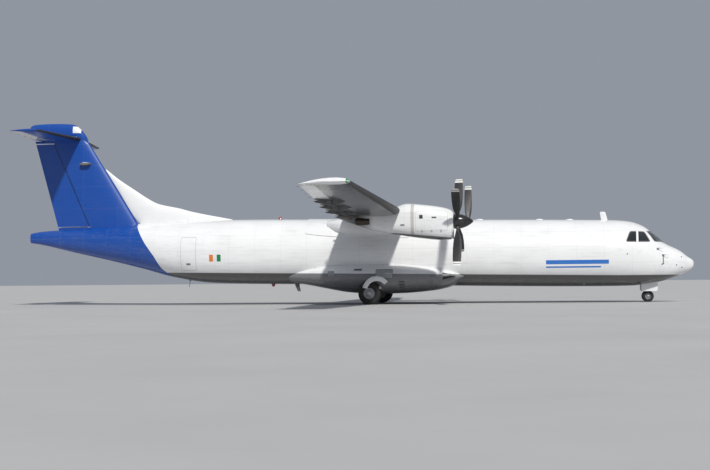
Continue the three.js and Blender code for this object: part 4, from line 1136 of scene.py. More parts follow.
def near_floor(middles):
    floor = floor_height(station_of(middles[:, 0]))
    return (np.abs(middles[:, 2] - floor) < 0.01) & (np.abs(middles[:, 1]) < FLOOR["half"])
def exhaust_faces(middles):
    """A test for the pipe and its bore on the outer side of each nacelle."""
    across = np.abs(middles[:, 1]) - NACELLE_Y - EXHAUST["offset"]
    near = np.hypot(across, middles[:, 2] - EXHAUST["z"]) < EXHAUST["radius"] + 0.005
    return near & (station_of(middles[:, 0]) > EXHAUST["from"])


def intake_faces(middles):
    """A test for the duct under each spinner."""
    aside = np.abs(np.abs(middles[:, 1]) - NACELLE_Y) < INTAKE["half"] + 0.002
    deep = station_of(middles[:, 0]) > INTAKE["from"] + 0.001
    level = (middles[:, 2] > INTAKE["bottom"] - 0.002) & (middles[:, 2] < INTAKE["top"] + 0.002)
    return aside & level & deep & (station_of(middles[:, 0]) < INTAKE["to"] + 0.001)

ROUND_BODY = radial_planes(40, 1.97)
WING_CHORDS = (0.0015, 0.005, 0.022, 0.035, 0.075, 0.11, 0.2, 0.25, 0.4, 0.6, 0.67, 0.79, 0.93)
TAIL_CHORDS = (0.002, 0.006, 0.025, 0.08, 0.11, 0.2, 0.25, 0.4, 0.6, 0.79, 0.93)
# How much of the chord the rubber boots cover, how long the white wing tip is, and where its lamp lies
WING_BOOT = 0.075
TAIL_BOOT = 0.08
TIP_LENGTH = 0.16
NAV_LAMP = {"span": 0.02, "chord": 0.07}
FAIRING_SUNK = 0.014
NACELLE_SLACK = 0.03
NOSE_PLACES = tuple(0.95 * (k / 20) ** 2 for k in range(1, 20))
COCKPIT_PLACES = tuple(0.95 + 0.09 * k for k in range(1, 25))
BARREL_PLANES = {
    "forward_barrel": planes_across(3.2, 9.6, 0.9),
    "centre_barrel": planes_across(9.6, 14.9, 0.9),
    "aft_barrel": planes_across(14.9, 20.9, 0.35),
    "tail_section": planes_across(20.9, 25.4, 0.25),
    "tail_cone": planes_across(25.4, 27.166, 0.2),
    "cargo_door": planes_across(3.9, 6.84, 0.9),
    "passenger_door": planes_across(19.6, 20.45, 0.2),
    "service_door": planes_across(19.6, 20.45, 0.2),
}
BARREL_INSIDE = {"tail_section": BLUE_PAINT, "tail_cone": BLUE_PAINT}
ON_BODY = [(BODY_SKIN, 0.0)]


def dress_body():
    dressed("radome", ON_BODY, stations(*NOSE_PLACES) + ROUND_BODY, [BODY_PAINT])
    cockpit = stations(*COCKPIT_PLACES) + ROUND_BODY
    dressed("cockpit_section", ON_BODY, cockpit, [BODY_PAINT, SEAL_GREY])
    for side, _ in SIDES:
        for kind in ("windscreen_", "side_windows_"):
            dressed(kind + side, [(BODY_SKIN, -PANE_SET_IN)], cockpit, [COCKPIT_GLASS])
    for node, planes in BARREL_PLANES.items():
        dressed(node, ON_BODY, planes + ROUND_BODY, [BODY_PAINT, BARREL_INSIDE.get(node, LINER)],
                regions=[(FLOOR_PANEL, near_floor, False)])


def at_wing_tip(middles):
    return np.abs(middles[:, 1]) > WING_TIP[0] - TIP_LENGTH


def nav_light(middles):
    outermost = np.abs(middles[:, 1]) > WING_TIP[0] - NAV_LAMP["span"]
    return outermost & (WING_SKIN.local(middles)[2] < NAV_LAMP["chord"])


def dress_wing():
    on_wing = [(WING_SKIN, 0.0)]
    # Undersides and cut faces take the dark painted shade
    colours = [WING_PAINT, WING_UNDER_PAINTED_SHADE]
    inner_planes = chord_planes((0.0, *WING_ROOT[1:]), WING_ROOT, WING_CHORDS)
    outer_planes = chord_planes(WING_ROOT, WING_TIP, WING_CHORDS)
    below = [(WING_UNDER_PAINTED_SHADE, under(WING_SKIN), True)]
    boots = [(BOOT_RUBBER, ahead_of(WING_SKIN, WING_BOOT), True)]
    spans = planes_of(spread(-4.6, 4.6, 0.6), ACROSS)
    dressed("wing_centre", on_wing, inner_planes + spans, colours, regions=below + boots)
    dressed("wing_root_fairing", [(ROOT_FAIRING_SKIN, 0.0), (BODY_SKIN, COLLAR_PROUD)],
            planes_across(10.15, 15.27, 0.2) + radial_planes(32, 3.16), [FAIRING_PAINT], sunk=FAIRING_SUNK)
    add_root_fairing()
    for side, sign in SIDES:
        spans = planes_of([sign * float(y) for y in np.linspace(5.4, 13.4, 17)], ACROSS)
        at_tip = [(PLAIN_WHITE, at_wing_tip, True), (PLAIN_WHITE, at_wing_tip, False)]
        lamp = [(RED_LENS if side == "left" else GREEN_LENS, nav_light, True)]
        dressed("wing_" + side, on_wing, outer_planes + spans, colours, regions=below + boots + at_tip + lamp)
        dressed("inner_flap_" + side, on_wing, inner_planes, colours, regions=below)
        dressed("outer_flap_" + side, on_wing, outer_planes, colours, regions=below)
        dressed("aileron_" + side, on_wing, outer_planes, [WING_PAINT])


# The hump's rounded ends: distance beyond its last station, share of the section
ROOT_ENDS = ((0.075, 0.45), (0.06, 0.75), (0.035, 0.92), (0.012, 0.985))


def add_root_fairing():
    """The smooth hump over the wing's middle, with rounded ends."""
    start, end = ROOT_FAIRING[0, 0], ROOT_FAIRING[-1, 0]
    rows = [(start, -out, share) for out, share in ROOT_ENDS]
    rows += [(s, 0.0, 1.0) for s in np.linspace(start, end, 72)]
    rows += [(end, out, share) for out, share in reversed(ROOT_ENDS)]
    bm = bmesh.new()
    add_strips(bm, [skin_ring(ROOT_FAIRING_SKIN, s, 112, 0.0, out, share) for s, out, share in rows])
    piece_from("wing_root_hump", bm, "airframe", "white_composite", FAIRING_PAINT, angle=50)


def dress_tail():
    on_fin, on_tailplane = [(FIN_SKIN, 0.0)], [(TAILPLANE_SKIN, 0.0)]
    upright = chord_planes(FIN_FOOT, FIN_HEAD, TAIL_CHORDS, upright=True)
    levels = planes_of(spread(3.3, 6.9, 0.3), UP)
    fillet = planes_across(18.5, 23.9, 0.25) + planes_of(spread(-0.13, 0.13, 0.02), ACROSS)
    dressed("fin", [(FIN_SKIN, 0.0), (FILLET_SKIN, 0.0)], upright + levels + fillet, [FIN_PAINT])
    dressed("rudder", on_fin, upright + levels, [RUDDER_PAINT])
    planes = chord_planes(TAILPLANE_ROOT, TAILPLANE_TIP, TAIL_CHORDS)
    below = [(TAIL_UNDER_PAINT, under(TAILPLANE_SKIN), True)]
    boots = [(BOOT_RUBBER, ahead_of(TAILPLANE_SKIN, TAIL_BOOT), True)]
    dressed("tailplane", on_tailplane, planes, [BLUE_PAINT], regions=boots)
    for side, _ in SIDES:
        dressed("elevator_" + side, on_tailplane, planes, [BLUE_PAINT], regions=below)
    dressed("fin_head_fairing", [(HEAD_FAIRING_SKIN, 0.0)],
            planes_across(24.69, 27.166, 0.08) + radial_planes(24, 7.28), [HEAD_PAINT])


# The thin tube just under each cowling: its stations, and how deep its inner and outer faces lie
CASE_STATIONS = (*(9.22 + 0.1 * k for k in range(21)), 11.3)
CASE_DEPTHS = (0.009, 0.005)


def add_nacelle_case(side, sign):
    inner, outer = ([(s, -depth) for s in CASE_STATIONS] for depth in CASE_DEPTHS)
    rows = [*reversed(inner), *outer, inner[-1]]
    bm = bmesh.new()
    add_strips(bm, [skin_ring(NACELLE_SKINS[sign], s, 72, grow) for s, grow in rows], caps=False)
    piece_from("nacelle_case_" + side, bm, "airframe", "white_composite", NACELLE_PAINT, angle=40)


def dress_power():
    for side, sign in SIDES:
        planes = planes_across(9.17, 13.45, 0.12) + radial_planes(32, 3.1, sign * NACELLE_Y)
        # The intake duct's walls take black painted shade
        inside = [(EXHAUST_METAL, exhaust_faces, False), (OPENING_SHADE_BLACK, intake_faces, False)]
        dressed("nacelle_" + side, [(NACELLE_SKINS[sign], 0.0)], planes, [NACELLE_PAINT], NACELLE_SLACK,
                inside)
        add_nacelle_case(side, sign)
        centre = PROP_CENTRES[sign]
        planes = planes_across(8.43, 9.15, 0.03) + radial_planes(24, centre.z, centre.y)
        dressed("spinner_" + side, [(SPINNER_SKINS[sign], 0.0)], planes, [SPINNER_BLACK, DARK_METAL])
def dress_gear():
    planes = planes_across(8.96, 15.95, 0.25) + radial_planes(40, 1.08)
    dressed("gear_fairing", [(GEAR_FAIRING_SKIN, 0.0)], planes, [GEAR_PAINT, WELL_PRIMER])


# Propellers

BLADE_BANDS = ((1.815, 1.89), (1.915, 1.98))
BLADE_SIDES = 28
# The metal leading edge: from and to along the blade, and how far ahead of its middle in shares of the chord
METAL_EDGE = (0.75, 1.8, 0.478)
# Blade root: distance out and radius. Hub: radius and distance ahead of the propeller's middle
BLADE_ROOT = ((0.2, 0.061), (0.3, 0.061), (0.31, 0.0605), (0.36, 0.0595))
HUB = ((0.0, PROPELLER["back"]), (0.19, PROPELLER["back"]), (PROPELLER["hub"], -0.13),
       (PROPELLER["hub"], 0.1), (0.19, PROPELLER["front"]), (0.0, PROPELLER["front"]))
PROP_MATERIALS = (BLADE_BLACK, TIP_WHITE, BLADE_METAL, DARK_METAL)
BLADE_PART, TIP_PART, EDGE_PART, HUB_PART = range(4)
def blade_ring(radius):
    """One section of a blade that stands upright: round at the root, thin with a blunt nose further out."""
    chord, thick, twist = (float(np.interp(radius, BLADE[:, 0], BLADE[:, k])) for k in (1, 2, 3))
    skew = 0.4 * min(1.0, (chord / thick - 1) / 3)
    c, s = math.cos(math.radians(twist)), math.sin(math.radians(twist))
    ring = []
    for angle in circle(BLADE_SIDES):
        fore = math.cos(angle) * chord / 2
        flat = math.sin(angle) * thick / 2 * (1 + skew * math.cos(angle)) / (1 + 0.3 * skew)
        ring.append(Vector((fore * c - flat * s, fore * s + flat * c, radius)))
    return ring


def add_blade(bm, turn, centre):
    edges = {edge for band in BLADE_BANDS for edge in band}
    radii = sorted({round(float(r), 4) for r in np.linspace(BLADE[0, 0], BLADE[-1, 0], 34)} | edges)
    rings = [[centre + turn @ point for point in blade_ring(radius)] for radius in radii]
    kinds = [TIP_PART if any(low <= (a + b) / 2 <= high for low, high in BLADE_BANDS) else BLADE_PART
             for a, b in zip(radii, radii[1:])]
    before = set(bm.faces)
    add_strips(bm, rings, kinds=kinds)
    axis, fore = turn @ UP, turn @ ALONG
    low, high, share = METAL_EDGE
    for face in set(bm.faces) - before:
        arm = face.calc_center_median() - centre
        out = arm.dot(axis)
        chord = float(np.interp(out, BLADE[:, 0], BLADE[:, 1]))
        if face.material_index == BLADE_PART and low < out < high and arm.dot(fore) > share * chord:
            face.material_index = EDGE_PART


def add_propellers():
    for side, sign in SIDES:
        centre = PROP_CENTRES[sign]
        bm = bmesh.new()
        for k in range(4):
            turn = Quaternion((1, 0, 0), -math.radians(BLADE_ANGLES[side] + 90 * k))
            add_blade(bm, turn, centre)
            out = turn @ UP
            add_tube(bm, [centre + out * r for r, _ in BLADE_ROOT], [radius for _, radius in BLADE_ROOT], 32,
                     HUB_PART)
        add_spun(bm, HUB, centre, ALONG, 48, kinds=[HUB_PART] * 5)
        piece_from("propeller_blades_" + side, bm, side + "_propeller", "black_composite", *PROP_MATERIALS,
                   angle=40, replaces=["propeller_" + side])


# Wheels

RIM_MATERIALS = (HUB_GREY, DARK_METAL, STEEL)
CAP_PART = 2
# Sidewall: share of the way from rim to tread, and of the width. Rim and cap: shares of the radius and width
SIDEWALL = ((0.0, 0.38), (0.02, 0.435), (0.1, 0.455), (0.22, 0.49), (0.42, 0.5), (0.6, 0.497), (0.76, 0.472),
            (0.88, 0.425), (0.955, 0.36))
SHOULDER = {"lower": 0.0035, "share": 0.29}
GROOVE = {"half": 0.006, "foot": 0.7, "deep": 0.007, "edge": 0.0005}
RIM_SHAPE = ((0.46, -0.28), (0.52, -0.26), (0.84, -0.06), (0.885, -0.08), (0.92, -0.36), (0.93, -0.38),
             (1.0, -0.38), (1.0, 0.38), (0.93, 0.38), (0.92, 0.36), (0.885, 0.12), (0.85, 0.095), (0.5, 0.15),
             (0.42, 0.2), (0.4, 0.26), (0.3, 0.3))
HUB_CAP = ((0.0, 0.36), (0.5, 0.35), (0.85, 0.31), (1.0, 0.26), (0.0, 0.26))
CAP_SHARE = 0.34
# Bolts: share of the rim's radius, share of the width, number, foot as a share of the rim's radius
BOLT_RINGS = ((0.66, 0.125, 9, 0.05), (0.93, 0.38, 12, 0.03))
# Rooms between the solids' fits and the drawn tyre, rim and axle
BEAD_ROOM = 0.0003
AXLE_ROOM = 0.0006
# Body, wheel, side, name pattern, the pair with their shifts, and the tread's grooves as shares of the width
WHEEL_GROUPS = (
    ("left_main_wheels", MAIN_WHEEL, 1, "main_{}_{}_left", (("inner", -1), ("outer", 1)), (0.2, 0.06)),
    ("right_main_wheels", MAIN_WHEEL, -1, "main_{}_{}_right", (("inner", -1), ("outer", 1)), (0.2, 0.06)),
    ("nose_wheels", NOSE_WHEEL, 1, "nose_{}_{}", (("left", 1), ("right", -1)), (0.12,)),
)


def tyre_profile(wheel, grooves):
    """A tyre's whole section: beads, round sidewalls, shoulders and tread with grooves."""
    radius, rim, width = wheel["radius"], wheel["rim"] + BEAD_ROOM, wheel["width"]
    half = [(rim + up * (radius - rim), share * width) for up, share in SIDEWALL]
    half.append((radius - SHOULDER["lower"], SHOULDER["share"] * width))
    gap, bottom = GROOVE["half"], radius - GROOVE["deep"]
    for share in grooves:
        middle = share * width
        half += [(radius - GROOVE["edge"], middle + gap), (bottom, middle + gap * GROOVE["foot"]),
                 (bottom, middle - gap * GROOVE["foot"]), (radius, middle - gap)]
    return half + [(radius, -along) for radius, along in reversed(half)] + [half[0]]


def rim_profile(wheel, side):
    """A dished hub whose outer face is deeper than its inner one."""
    axle = wheel["axle"] + AXLE_ROOM
    shape = [(axle, -0.28), *((share * wheel["rim"], along) for share, along in RIM_SHAPE), (axle, 0.3),
             (axle, -0.28)]
    return [(radius, side * along * wheel["width"]) for radius, along in shape]


def wheel_bolts(wheel, centre, face):
    spin = UP.rotation_difference(ACROSS * face).to_matrix().to_4x4()
    rim, width = wheel["rim"], wheel["width"]
    meshes = []
    for ring, along, count, foot in BOLT_RINGS:
        matrix = Matrix.Translation(centre) @ spin @ Matrix.Translation(UP * (width * along))
        meshes.append(repeated(STUD_RING, STEEL, matrix, count=count, ring_radius=ring * rim, foot=foot * rim,
                               tip=0.85 * foot * rim, length=0.05 * width))
    return meshes


def add_wheels():
    for body, wheel, sign, pattern, pair, grooves in WHEEL_GROUPS:
        tyres, rims, bolts = bmesh.new(), bmesh.new(), []
        for _, shift in pair:
            y = sign * (wheel["y"] + shift * wheel["pitch"] / 2)
            centre = place(wheel["station"], y, wheel["radius"])
            face = sign * shift
            add_spun(tyres, tyre_profile(wheel, grooves), centre, ACROSS, 72)
            add_spun(rims, rim_profile(wheel, face), centre, ACROSS, 64)
            cap = [(CAP_SHARE * wheel["rim"] * r, face * wheel["width"] * along) for r, along in HUB_CAP]
            add_spun(rims, cap, centre, ACROSS, 40, kinds=[CAP_PART] * 4)
            bolts += wheel_bolts(wheel, centre, face)
        tyre_nodes, rim_nodes = ([pattern.format(kind, name) for name, _ in pair] for kind in ("tyre", "rim"))
        piece_from(body + "_tyres", tyres, body, "tyre_rubber", TYRE_RUBBER, angle=38, replaces=tyre_nodes)
        piece_from(body + "_hubs", rims, body, "rim_metal", *RIM_MATERIALS, angle=30, replaces=rim_nodes)
        piece_of_meshes(body + "_bolts", bolts, body, "leg_steel", STEEL)


# Landing gear legs

LEG_MATERIALS = (STEEL, CHROME, DARK_METAL, HOSE_BLACK, PLAIN_WHITE)
STEEL_PART, CHROME_PART, DARK_PART, HOSE_PART, WHITE_PART = range(5)
# Tubes: points (aft of the axle, up, out), one radius or one for each point, sides, material.
# A main leg's heights are above its axle, the nose leg's above the ground
MAIN_LEG_TUBES = (
    (((0, 0, -0.26), (0, 0, 0.26)), MAIN_WHEEL["axle"], 32, STEEL_PART),
    (((0, 0, 0), (0, 0.2, 0), (0, 0.22, 0), (0, 0.48, 0)), (0.058, 0.06, 0.072, 0.072), 32, WHITE_PART),
    (((-0.43, 0.25, 0), (-0.2, 0.128, 0)), 0.056, 28, WHITE_PART),
    (((-0.2, 0.128, 0), (0, 0.02, 0)), 0.04, 28, CHROME_PART),
    (((0.03, 0.06, 0), (0.3, 0.35, 0)), 0.03, 20, STEEL_PART),
    (((0.13, 0.13, 0), (0.075, 0.02, 0)), (0.014, 0.026), 12, STEEL_PART),
    (((0.13, 0.13, 0), (0.075, 0.3, 0)), (0.014, 0.026), 12, STEEL_PART),
)
MAIN_LEG_HOSE = ((-0.07, 0.4, 0.05), (-0.12, 0.3, 0.07), (-0.13, 0.16, 0.085), (-0.09, 0.06, 0.09))
MAIN_LEG_HEAD = {"up": 0.475, "size": (0.28, 0.14, 0.07), "bevel": 0.012}
# Brake disc: radius, distance out
BRAKE = ((0.05, 0.078), (0.165, 0.078), (0.17, 0.083), (0.17, 0.105), (0.165, 0.11), (0.05, 0.11))
NOSE_LEG_TUBES = (
    (((0, 0.641, 0), (0, 0.66, 0), (0, 0.95, 0), (0, 0.9795, 0)), (0.058, 0.062, 0.062, 0.06), 36,
     WHITE_PART),
    (((0, 0.76, 0), (-0.367, 0.92, 0)), 0.026, 20, STEEL_PART),
    (((-0.055, 0.72, 0), (-0.075, 0.72, 0), (-0.14, 0.72, 0)), (0.02, 0.06, 0.066), 28, DARK_PART),
    (((0.05, 0.92, 0.05), (0.085, 0.8, 0.06), (0.07, 0.68, 0.05)), 0.008, 10, HOSE_PART),
    (((0.05, 0.92, -0.05), (0.085, 0.8, -0.06), (0.07, 0.68, -0.05)), 0.008, 10, HOSE_PART),
)
NOSE_AXLE_UP = NOSE_WHEEL["radius"]
NOSE_FORK_TUBES = (
    (((0, NOSE_AXLE_UP, -0.188), (0, NOSE_AXLE_UP, 0.188)), NOSE_WHEEL["axle"], 28, STEEL_PART),
    (((0, NOSE_AXLE_UP, 0), (0, 0.33, 0), (0, 0.34, 0), (0, 0.56, 0)), (0.05, 0.05, 0.04, 0.04), 32,
     CHROME_PART),
    (((0, 0.55, 0), (0, 0.56, 0), (0, 0.63, 0), (0, 0.6395, 0)), (0.055, 0.062, 0.062, 0.06), 36, STEEL_PART),
    (((0.13, 0.43, 0), (0.04, 0.3, 0)), (0.014, 0.026), 14, STEEL_PART),
    (((0.13, 0.43, 0), (0.04, 0.58, 0)), (0.014, 0.026), 14, STEEL_PART),
)
TAXI_LAMP = {"aft": -0.14, "up": 0.72, "size": (0.012, 0.058, 0.058)}
# Nose gear doors: outline by station and height, corner radius, distances out of the faces, stiffeners
NOSE_DOOR = [(1.42, 0.465), (1.48, 0.425), (1.99, 0.425), (2.05, 0.465), (2.05, 0.8), (1.42, 0.8)]
NOSE_DOOR_CORNER = 0.02
NOSE_DOOR_FACES = (0.33, 0.348)
STIFFENER = {"station": 1.735, "out": 0.325, "heights": (0.52, 0.66), "size": (0.5, 0.012, 0.03),
             "bevel": 0.004}


def add_tubes(bm, spot, rows):
    """Tubes from a table. `spot` turns a point of it into a place."""
    for points, radii, sides, kind in rows:
        add_tube(bm, [spot(*point) for point in points], radii, sides, kind)


def add_main_legs():
    for side, sign in SIDES:
        def near_axle(aft, up, out=0.0):
            y = sign * (MAIN_WHEEL["y"] + out)
            return place(MAIN_WHEEL["station"] + aft, y, MAIN_WHEEL["radius"] + up)

        bm = bmesh.new()
        add_tubes(bm, near_axle, MAIN_LEG_TUBES)
        head = near_axle(0, MAIN_LEG_HEAD["up"])
        add_block(bm, head, MAIN_LEG_HEAD["size"], MAIN_LEG_HEAD["bevel"], DARK_PART)
        for way in (-1, 1):
            disc = [(radius, way * along) for radius, along in BRAKE]
            add_spun(bm, disc, near_axle(0, 0), ACROSS * sign, 48, kinds=[DARK_PART] * 5)
            hose = [near_axle(aft, up, out * way) for aft, up, out in MAIN_LEG_HOSE]
            add_tube(bm, hose, 0.009, 10, HOSE_PART)
        piece_from("main_leg_fine_" + side, bm, "airframe", "leg_steel", *LEG_MATERIALS, angle=35,
                   replaces=["main_leg_" + side])


def on_nose_leg(aft, up, out=0.0):
    return place(NOSE_WHEEL["station"] + aft, out, up)


def add_nose_gear():
    upper, lamp, fork = bmesh.new(), bmesh.new(), bmesh.new()
    add_tubes(upper, on_nose_leg, NOSE_LEG_TUBES)
    piece_from("nose_leg_fine", upper, "airframe", "leg_steel", *LEG_MATERIALS, angle=35,
               replaces=["nose_leg"])
    add_dome(lamp, on_nose_leg(TAXI_LAMP["aft"], TAXI_LAMP["up"]), TAXI_LAMP["size"])
    piece_from("nose_taxi_lamp", lamp, "airframe", "dark_glass", LENS_GLASS, angle=60)
    add_tubes(fork, on_nose_leg, NOSE_FORK_TUBES)
    piece_from("nose_fork_fine", fork, "nose_steering", "leg_steel", *LEG_MATERIALS, angle=35,
               replaces=["nose_fork"])
    outline = rounded_outline(NOSE_DOOR, NOSE_DOOR_CORNER, 3)
    for side, sign in SIDES:
        door = bmesh.new()
        add_strips(door, [[place(p.x, sign * y, p.y) for p in outline] for y in NOSE_DOOR_FACES])
        for height in STIFFENER["heights"]:
            spot = place(STIFFENER["station"], sign * STIFFENER["out"], height)
            add_block(door, spot, STIFFENER["size"], STIFFENER["bevel"], kind=1)
        piece_from("nose_door_fine_" + side, door, "airframe", "white_composite", PLAIN_WHITE, WELL_PRIMER,
                   angle=30, replaces=["nose_gear_door_" + side])
# Windows, sensors, aerials and lamps

# Outlines by station and height, or for the front by distance out and height
SIDE_PANE = [(1.73, 2.35), (2.68, 2.35), (2.5, 2.755), (1.94, 2.74)]
FRONT_PANE = [(0.055, 2.365), (0.77, 2.355), (0.59, 2.75), (0.055, 2.785)]
SIDE_POST = [(2.2, 2.335), (2.28, 2.335), (2.26, 2.77), (2.18, 2.77)]
WIPER = [(0.1, 2.33), (0.14, 2.37), (0.3, 2.6), (0.34, 2.66)]
WIPER_RADII = (0.012, 0.009, 0.007, 0.006)
WIPER_BLADE = ((0.22, 2.42), (0.44, 2.68))
PORTS = ((0.727, 1.437), (2.639, 1.875), (0.511, 1.749), (0.504, 1.339))
PROBES = ((1.45, 2.06), (1.25, 1.81))
# A probe's tube: height off the skin, distance ahead, radius
PROBE_TUBE = ((0.0, 0.0, 0.022), (0.05, 0.01, 0.017), (0.072, 0.035, 0.013), (0.075, 0.07, 0.011),
              (0.075, 0.2, 0.008))
# A dark strip from under the lower probe down to the vane: painted shadow
PAINTED_SHADOW_STRIP = box_outline(1.23, 1.27, 1.51, 1.78)
VANE = {"foot": (1.25, 1.5), "reach": (-0.05, 0.07, -0.01), "chords": (0.1, 0.06), "thick": 0.014}
FRAME_SINK = 0.012


def add_windows():
    for side, sign in SIDES:
        beside, ahead = side_points(BODY_SKIN, sign), front_points(BODY_SKIN, sign)
        bm = bmesh.new()
        add_laid(bm, flat_band(rounded_outline(SIDE_PANE, 0.08), 0.034), beside, 0.003, FRAME_SINK)
        add_laid(bm, flat_band(rounded_outline(FRONT_PANE, 0.06), 0.03), ahead, 0.003, FRAME_SINK)
        add_laid(bm, flat_sheet(SIDE_POST, 0.05), beside, 0.005, FRAME_SINK, kind=1)
        add_tube(bm, [skin_point(ahead, spot, 0.016) for spot in WIPER], WIPER_RADII, 12)
        add_tube(bm, [skin_point(ahead, spot, 0.008) for spot in WIPER_BLADE], 0.006, 8)
        piece_from("window_frames_" + side, bm, "airframe", "black_composite", SEAL_GREY, PLAIN_WHITE,
                   angle=40)


def add_nose_sensors():
    for side, sign in SIDES:
        beside = side_points(BODY_SKIN, sign)
        bm = bmesh.new()
        # The painted shadow strip under the lower probe
        add_laid(bm, flat_sheet(PAINTED_SHADOW_STRIP, 0.05), beside, 0.002)
        for spot in PORTS:
            add_laid(bm, flat_sheet(disc_outline(spot, 0.026), 0.1), beside, 0.002)
        for spot in PROBES:
            add_laid(bm, flat_sheet(disc_outline(spot, 0.05), 0.1), beside, 0.003)
            path = [skin_point(beside, spot, lift, forward) for lift, forward, _ in PROBE_TUBE]
            add_tube(bm, path, [radius for *_, radius in PROBE_TUBE], 14, 1)
        foot = skin_point(beside, VANE["foot"])
        along, out, up = VANE["reach"]
        add_aerial(bm, foot, foot + Vector((along, out * sign, up)), VANE["chords"], VANE["thick"])
        piece_from("nose_sensors_" + side, bm, "airframe", "black_composite", SEAL_GREY, STEEL, angle=40)


def add_aerial(bm, foot, tip, chords, thick, kind=0):
    """A flat aerial with a lens section between two points, its chord along the body."""
    side = (tip - foot).cross(ALONG).normalized()
    rings = []
    for share, slim in ((0.0, 1.0), (0.5, 1.0), (0.92, 0.97), (1.0, 0.7)):
        middle = foot.lerp(tip, share)
        long = slim * (chords[0] + share * (chords[1] - chords[0])) / 2
        flat = slim * thick / 2
        rings.append([middle + ALONG * (long * math.cos(a)) + side * (flat * math.sin(a))
                      for a in circle(20)])
    add_strips(bm, rings, kinds=[kind] * len(rings))


def crown(station):
    return float(BODY_SKIN.section(np.array([station]))[1][0])


def keel(station):
    return float(BODY_SKIN.section(np.array([station]))[2][0])


# Foot and tip by station, distance out and height, then chords, thickness and material
AERIALS = (
    ((3.41, 0, 3.2), (3.49, 0, 3.58), (0.26, 0.22), 0.03, 0),
    ((15.78, 0, 0.68), (15.72, 0, 0.52), (0.16, 0.13), 0.03, 2),
    ((15.82, 0, keel(15.8) + 0.03), (15.78, 0, 0.68), (0.2, 0.16), 0.034, 1),
    *(((24.72, 0.08 * way, 5.9), (24.74, 0.36 * way, 5.9), (0.5, 0.42), 0.11, 1) for way in (1, -1)),
    *(((24.68, 0.08 * way, 5.955), (24.7, 0.35 * way, 5.955), (0.36, 0.3), 0.028, 0) for way in (1, -1)),
)
CROWN_BUMPS = (4.78, 5.97, 8.35)
CROWN_BUMP_SIZE = (0.15, 0.045, 0.04)
WHIP = {"station": 20.3, "rake": 0.04, "into": 0.02, "long": 0.3, "radii": (0.014, 0.008)}
SMALL_DOME = (0.05, 0.05, 0.03)
# Beacons: station and 1 for the crown or -1 for the keel, then radius and height of the lamp's outline
BEACONS = ((16.5, 1), (16.8, -1))
BEACON_SHAPE = ((0.0, 0.0), (0.085, 0.0), (0.085, 0.025), (0.07, 0.03), (0.068, 0.06), (0.058, 0.09),
                (0.036, 0.11), (0.0, 0.117))
LOWER_LAMP = (4.279, -0.668, 0.735)


def add_aerials():
    bm = bmesh.new()
    for foot, tip, chords, thick, kind in AERIALS:
        add_aerial(bm, place(*foot), place(*tip), chords, thick, kind)
    for station in CROWN_BUMPS:
        add_dome(bm, place(station, 0, crown(station) - 0.005), CROWN_BUMP_SIZE)
    station, low = WHIP["station"], keel(WHIP["station"])
    whip = [place(station, 0, low + WHIP["into"]), place(station + WHIP["rake"], 0, low - WHIP["long"])]
    add_tube(bm, whip, WHIP["radii"], 12, 1)
    add_dome(bm, place(station, 0, low), SMALL_DOME, 1)
    piece_from("aerials", bm, "airframe", "white_composite", PLAIN_WHITE, SEAL_GREY, PANEL_GREY, angle=40)
    lamps = bmesh.new()
    for station, way in BEACONS:
        height = crown(station) if way > 0 else keel(station)
        add_spun(lamps, BEACON_SHAPE, place(station, 0, height - way * 0.01), UP * way, 32,
                 kinds=[1, 1, 1, 0, 0, 0, 0])
    add_dome(lamps, place(*LOWER_LAMP), SMALL_DOME, 2)
    piece_from("beacons", lamps, "airframe", "dark_glass", RED_LENS, SEAL_GREY, LENS_GLASS, angle=50)


# Panels, vents and fenders round the landing gear and the nacelles

# Outline by station and height, material, and how proud the panel is
FAIRING_PANELS = (
    # Material 0 is black painted shade standing for an inlet opening or a grille
    ([(9.28, 1.05), (9.76, 0.94), (9.76, 1.22), (9.28, 1.13)], 0, 0.003),
    (box_outline(11.22, 11.43, 0.64, 0.9), 0, 0.003),
    (box_outline(11.68, 12.33, 1.02, 1.36), 1, 0.006),
    (box_outline(12.9, 13.2, 1.33, 1.39), 2, 0.003),
    (box_outline(14.0, 14.25, 1.1, 1.3), 1, 0.003),
)
LOUVRES = {"heights": (0.68, 0.72, 0.76, 0.8, 0.84), "ends": (11.24, 11.41), "radius": 0.006}
# Fender: section by radius and distance out, centre by station and height, where its sweep starts and ends
FENDER_SECTION = [(0.55, 2.395), (0.56, 2.4), (0.56, 2.41), (0.55, 2.415), (0.385, 2.415), (0.375, 2.41),
                  (0.375, 2.4), (0.385, 2.395)]
FENDER_CENTRE = (12.257, 0.54)
FENDER_ANGLES = (12, 142)
# Fender struts: places ahead of its centre, height above it, then each point's way in and up, and radii
FENDER_STRUTS = (-0.2, 0.0, 0.24)
STRUT_FOOT = (2.4, 0.47)
STRUT_WAY = ((0.0, 0.0), (0.12, 0.02), (0.6, 0.16))
STRUT_RADII = (0.022, 0.02, 0.02)
NACELLE_VENTS = (
    # Vents of material 0 are black painted shade standing for their openings
    (box_outline(10.27, 10.4, 3.2, 3.34), 0),
    (box_outline(9.77, 9.94, 3.215, 3.265), 0),
    (box_outline(10.95, 11.1, 2.95, 3.0), 1),
)
COWL_DOOR = box_outline(9.36, 10.54, 2.74, 3.48)
COWL_CATCHES = (9.6, 9.95, 10.3)
# Lip and pipe: the pipe's outline by radius and distance aft of its end, and the material of each strip
LIP = {"aft": 0.012, "corner": 0.09, "radius": 0.02}
PIPE = ((0.131, -0.3), (0.134, -0.02), (0.135, 0.006), (0.13, 0.012), (0.108, 0.012), (0.104, 0.0),
        (0.104, -0.24), (0.0, -0.24))
# The bore's strips are black painted shade
PIPE_PARTS = (0, 0, 0, 0, 0, 1, 1)


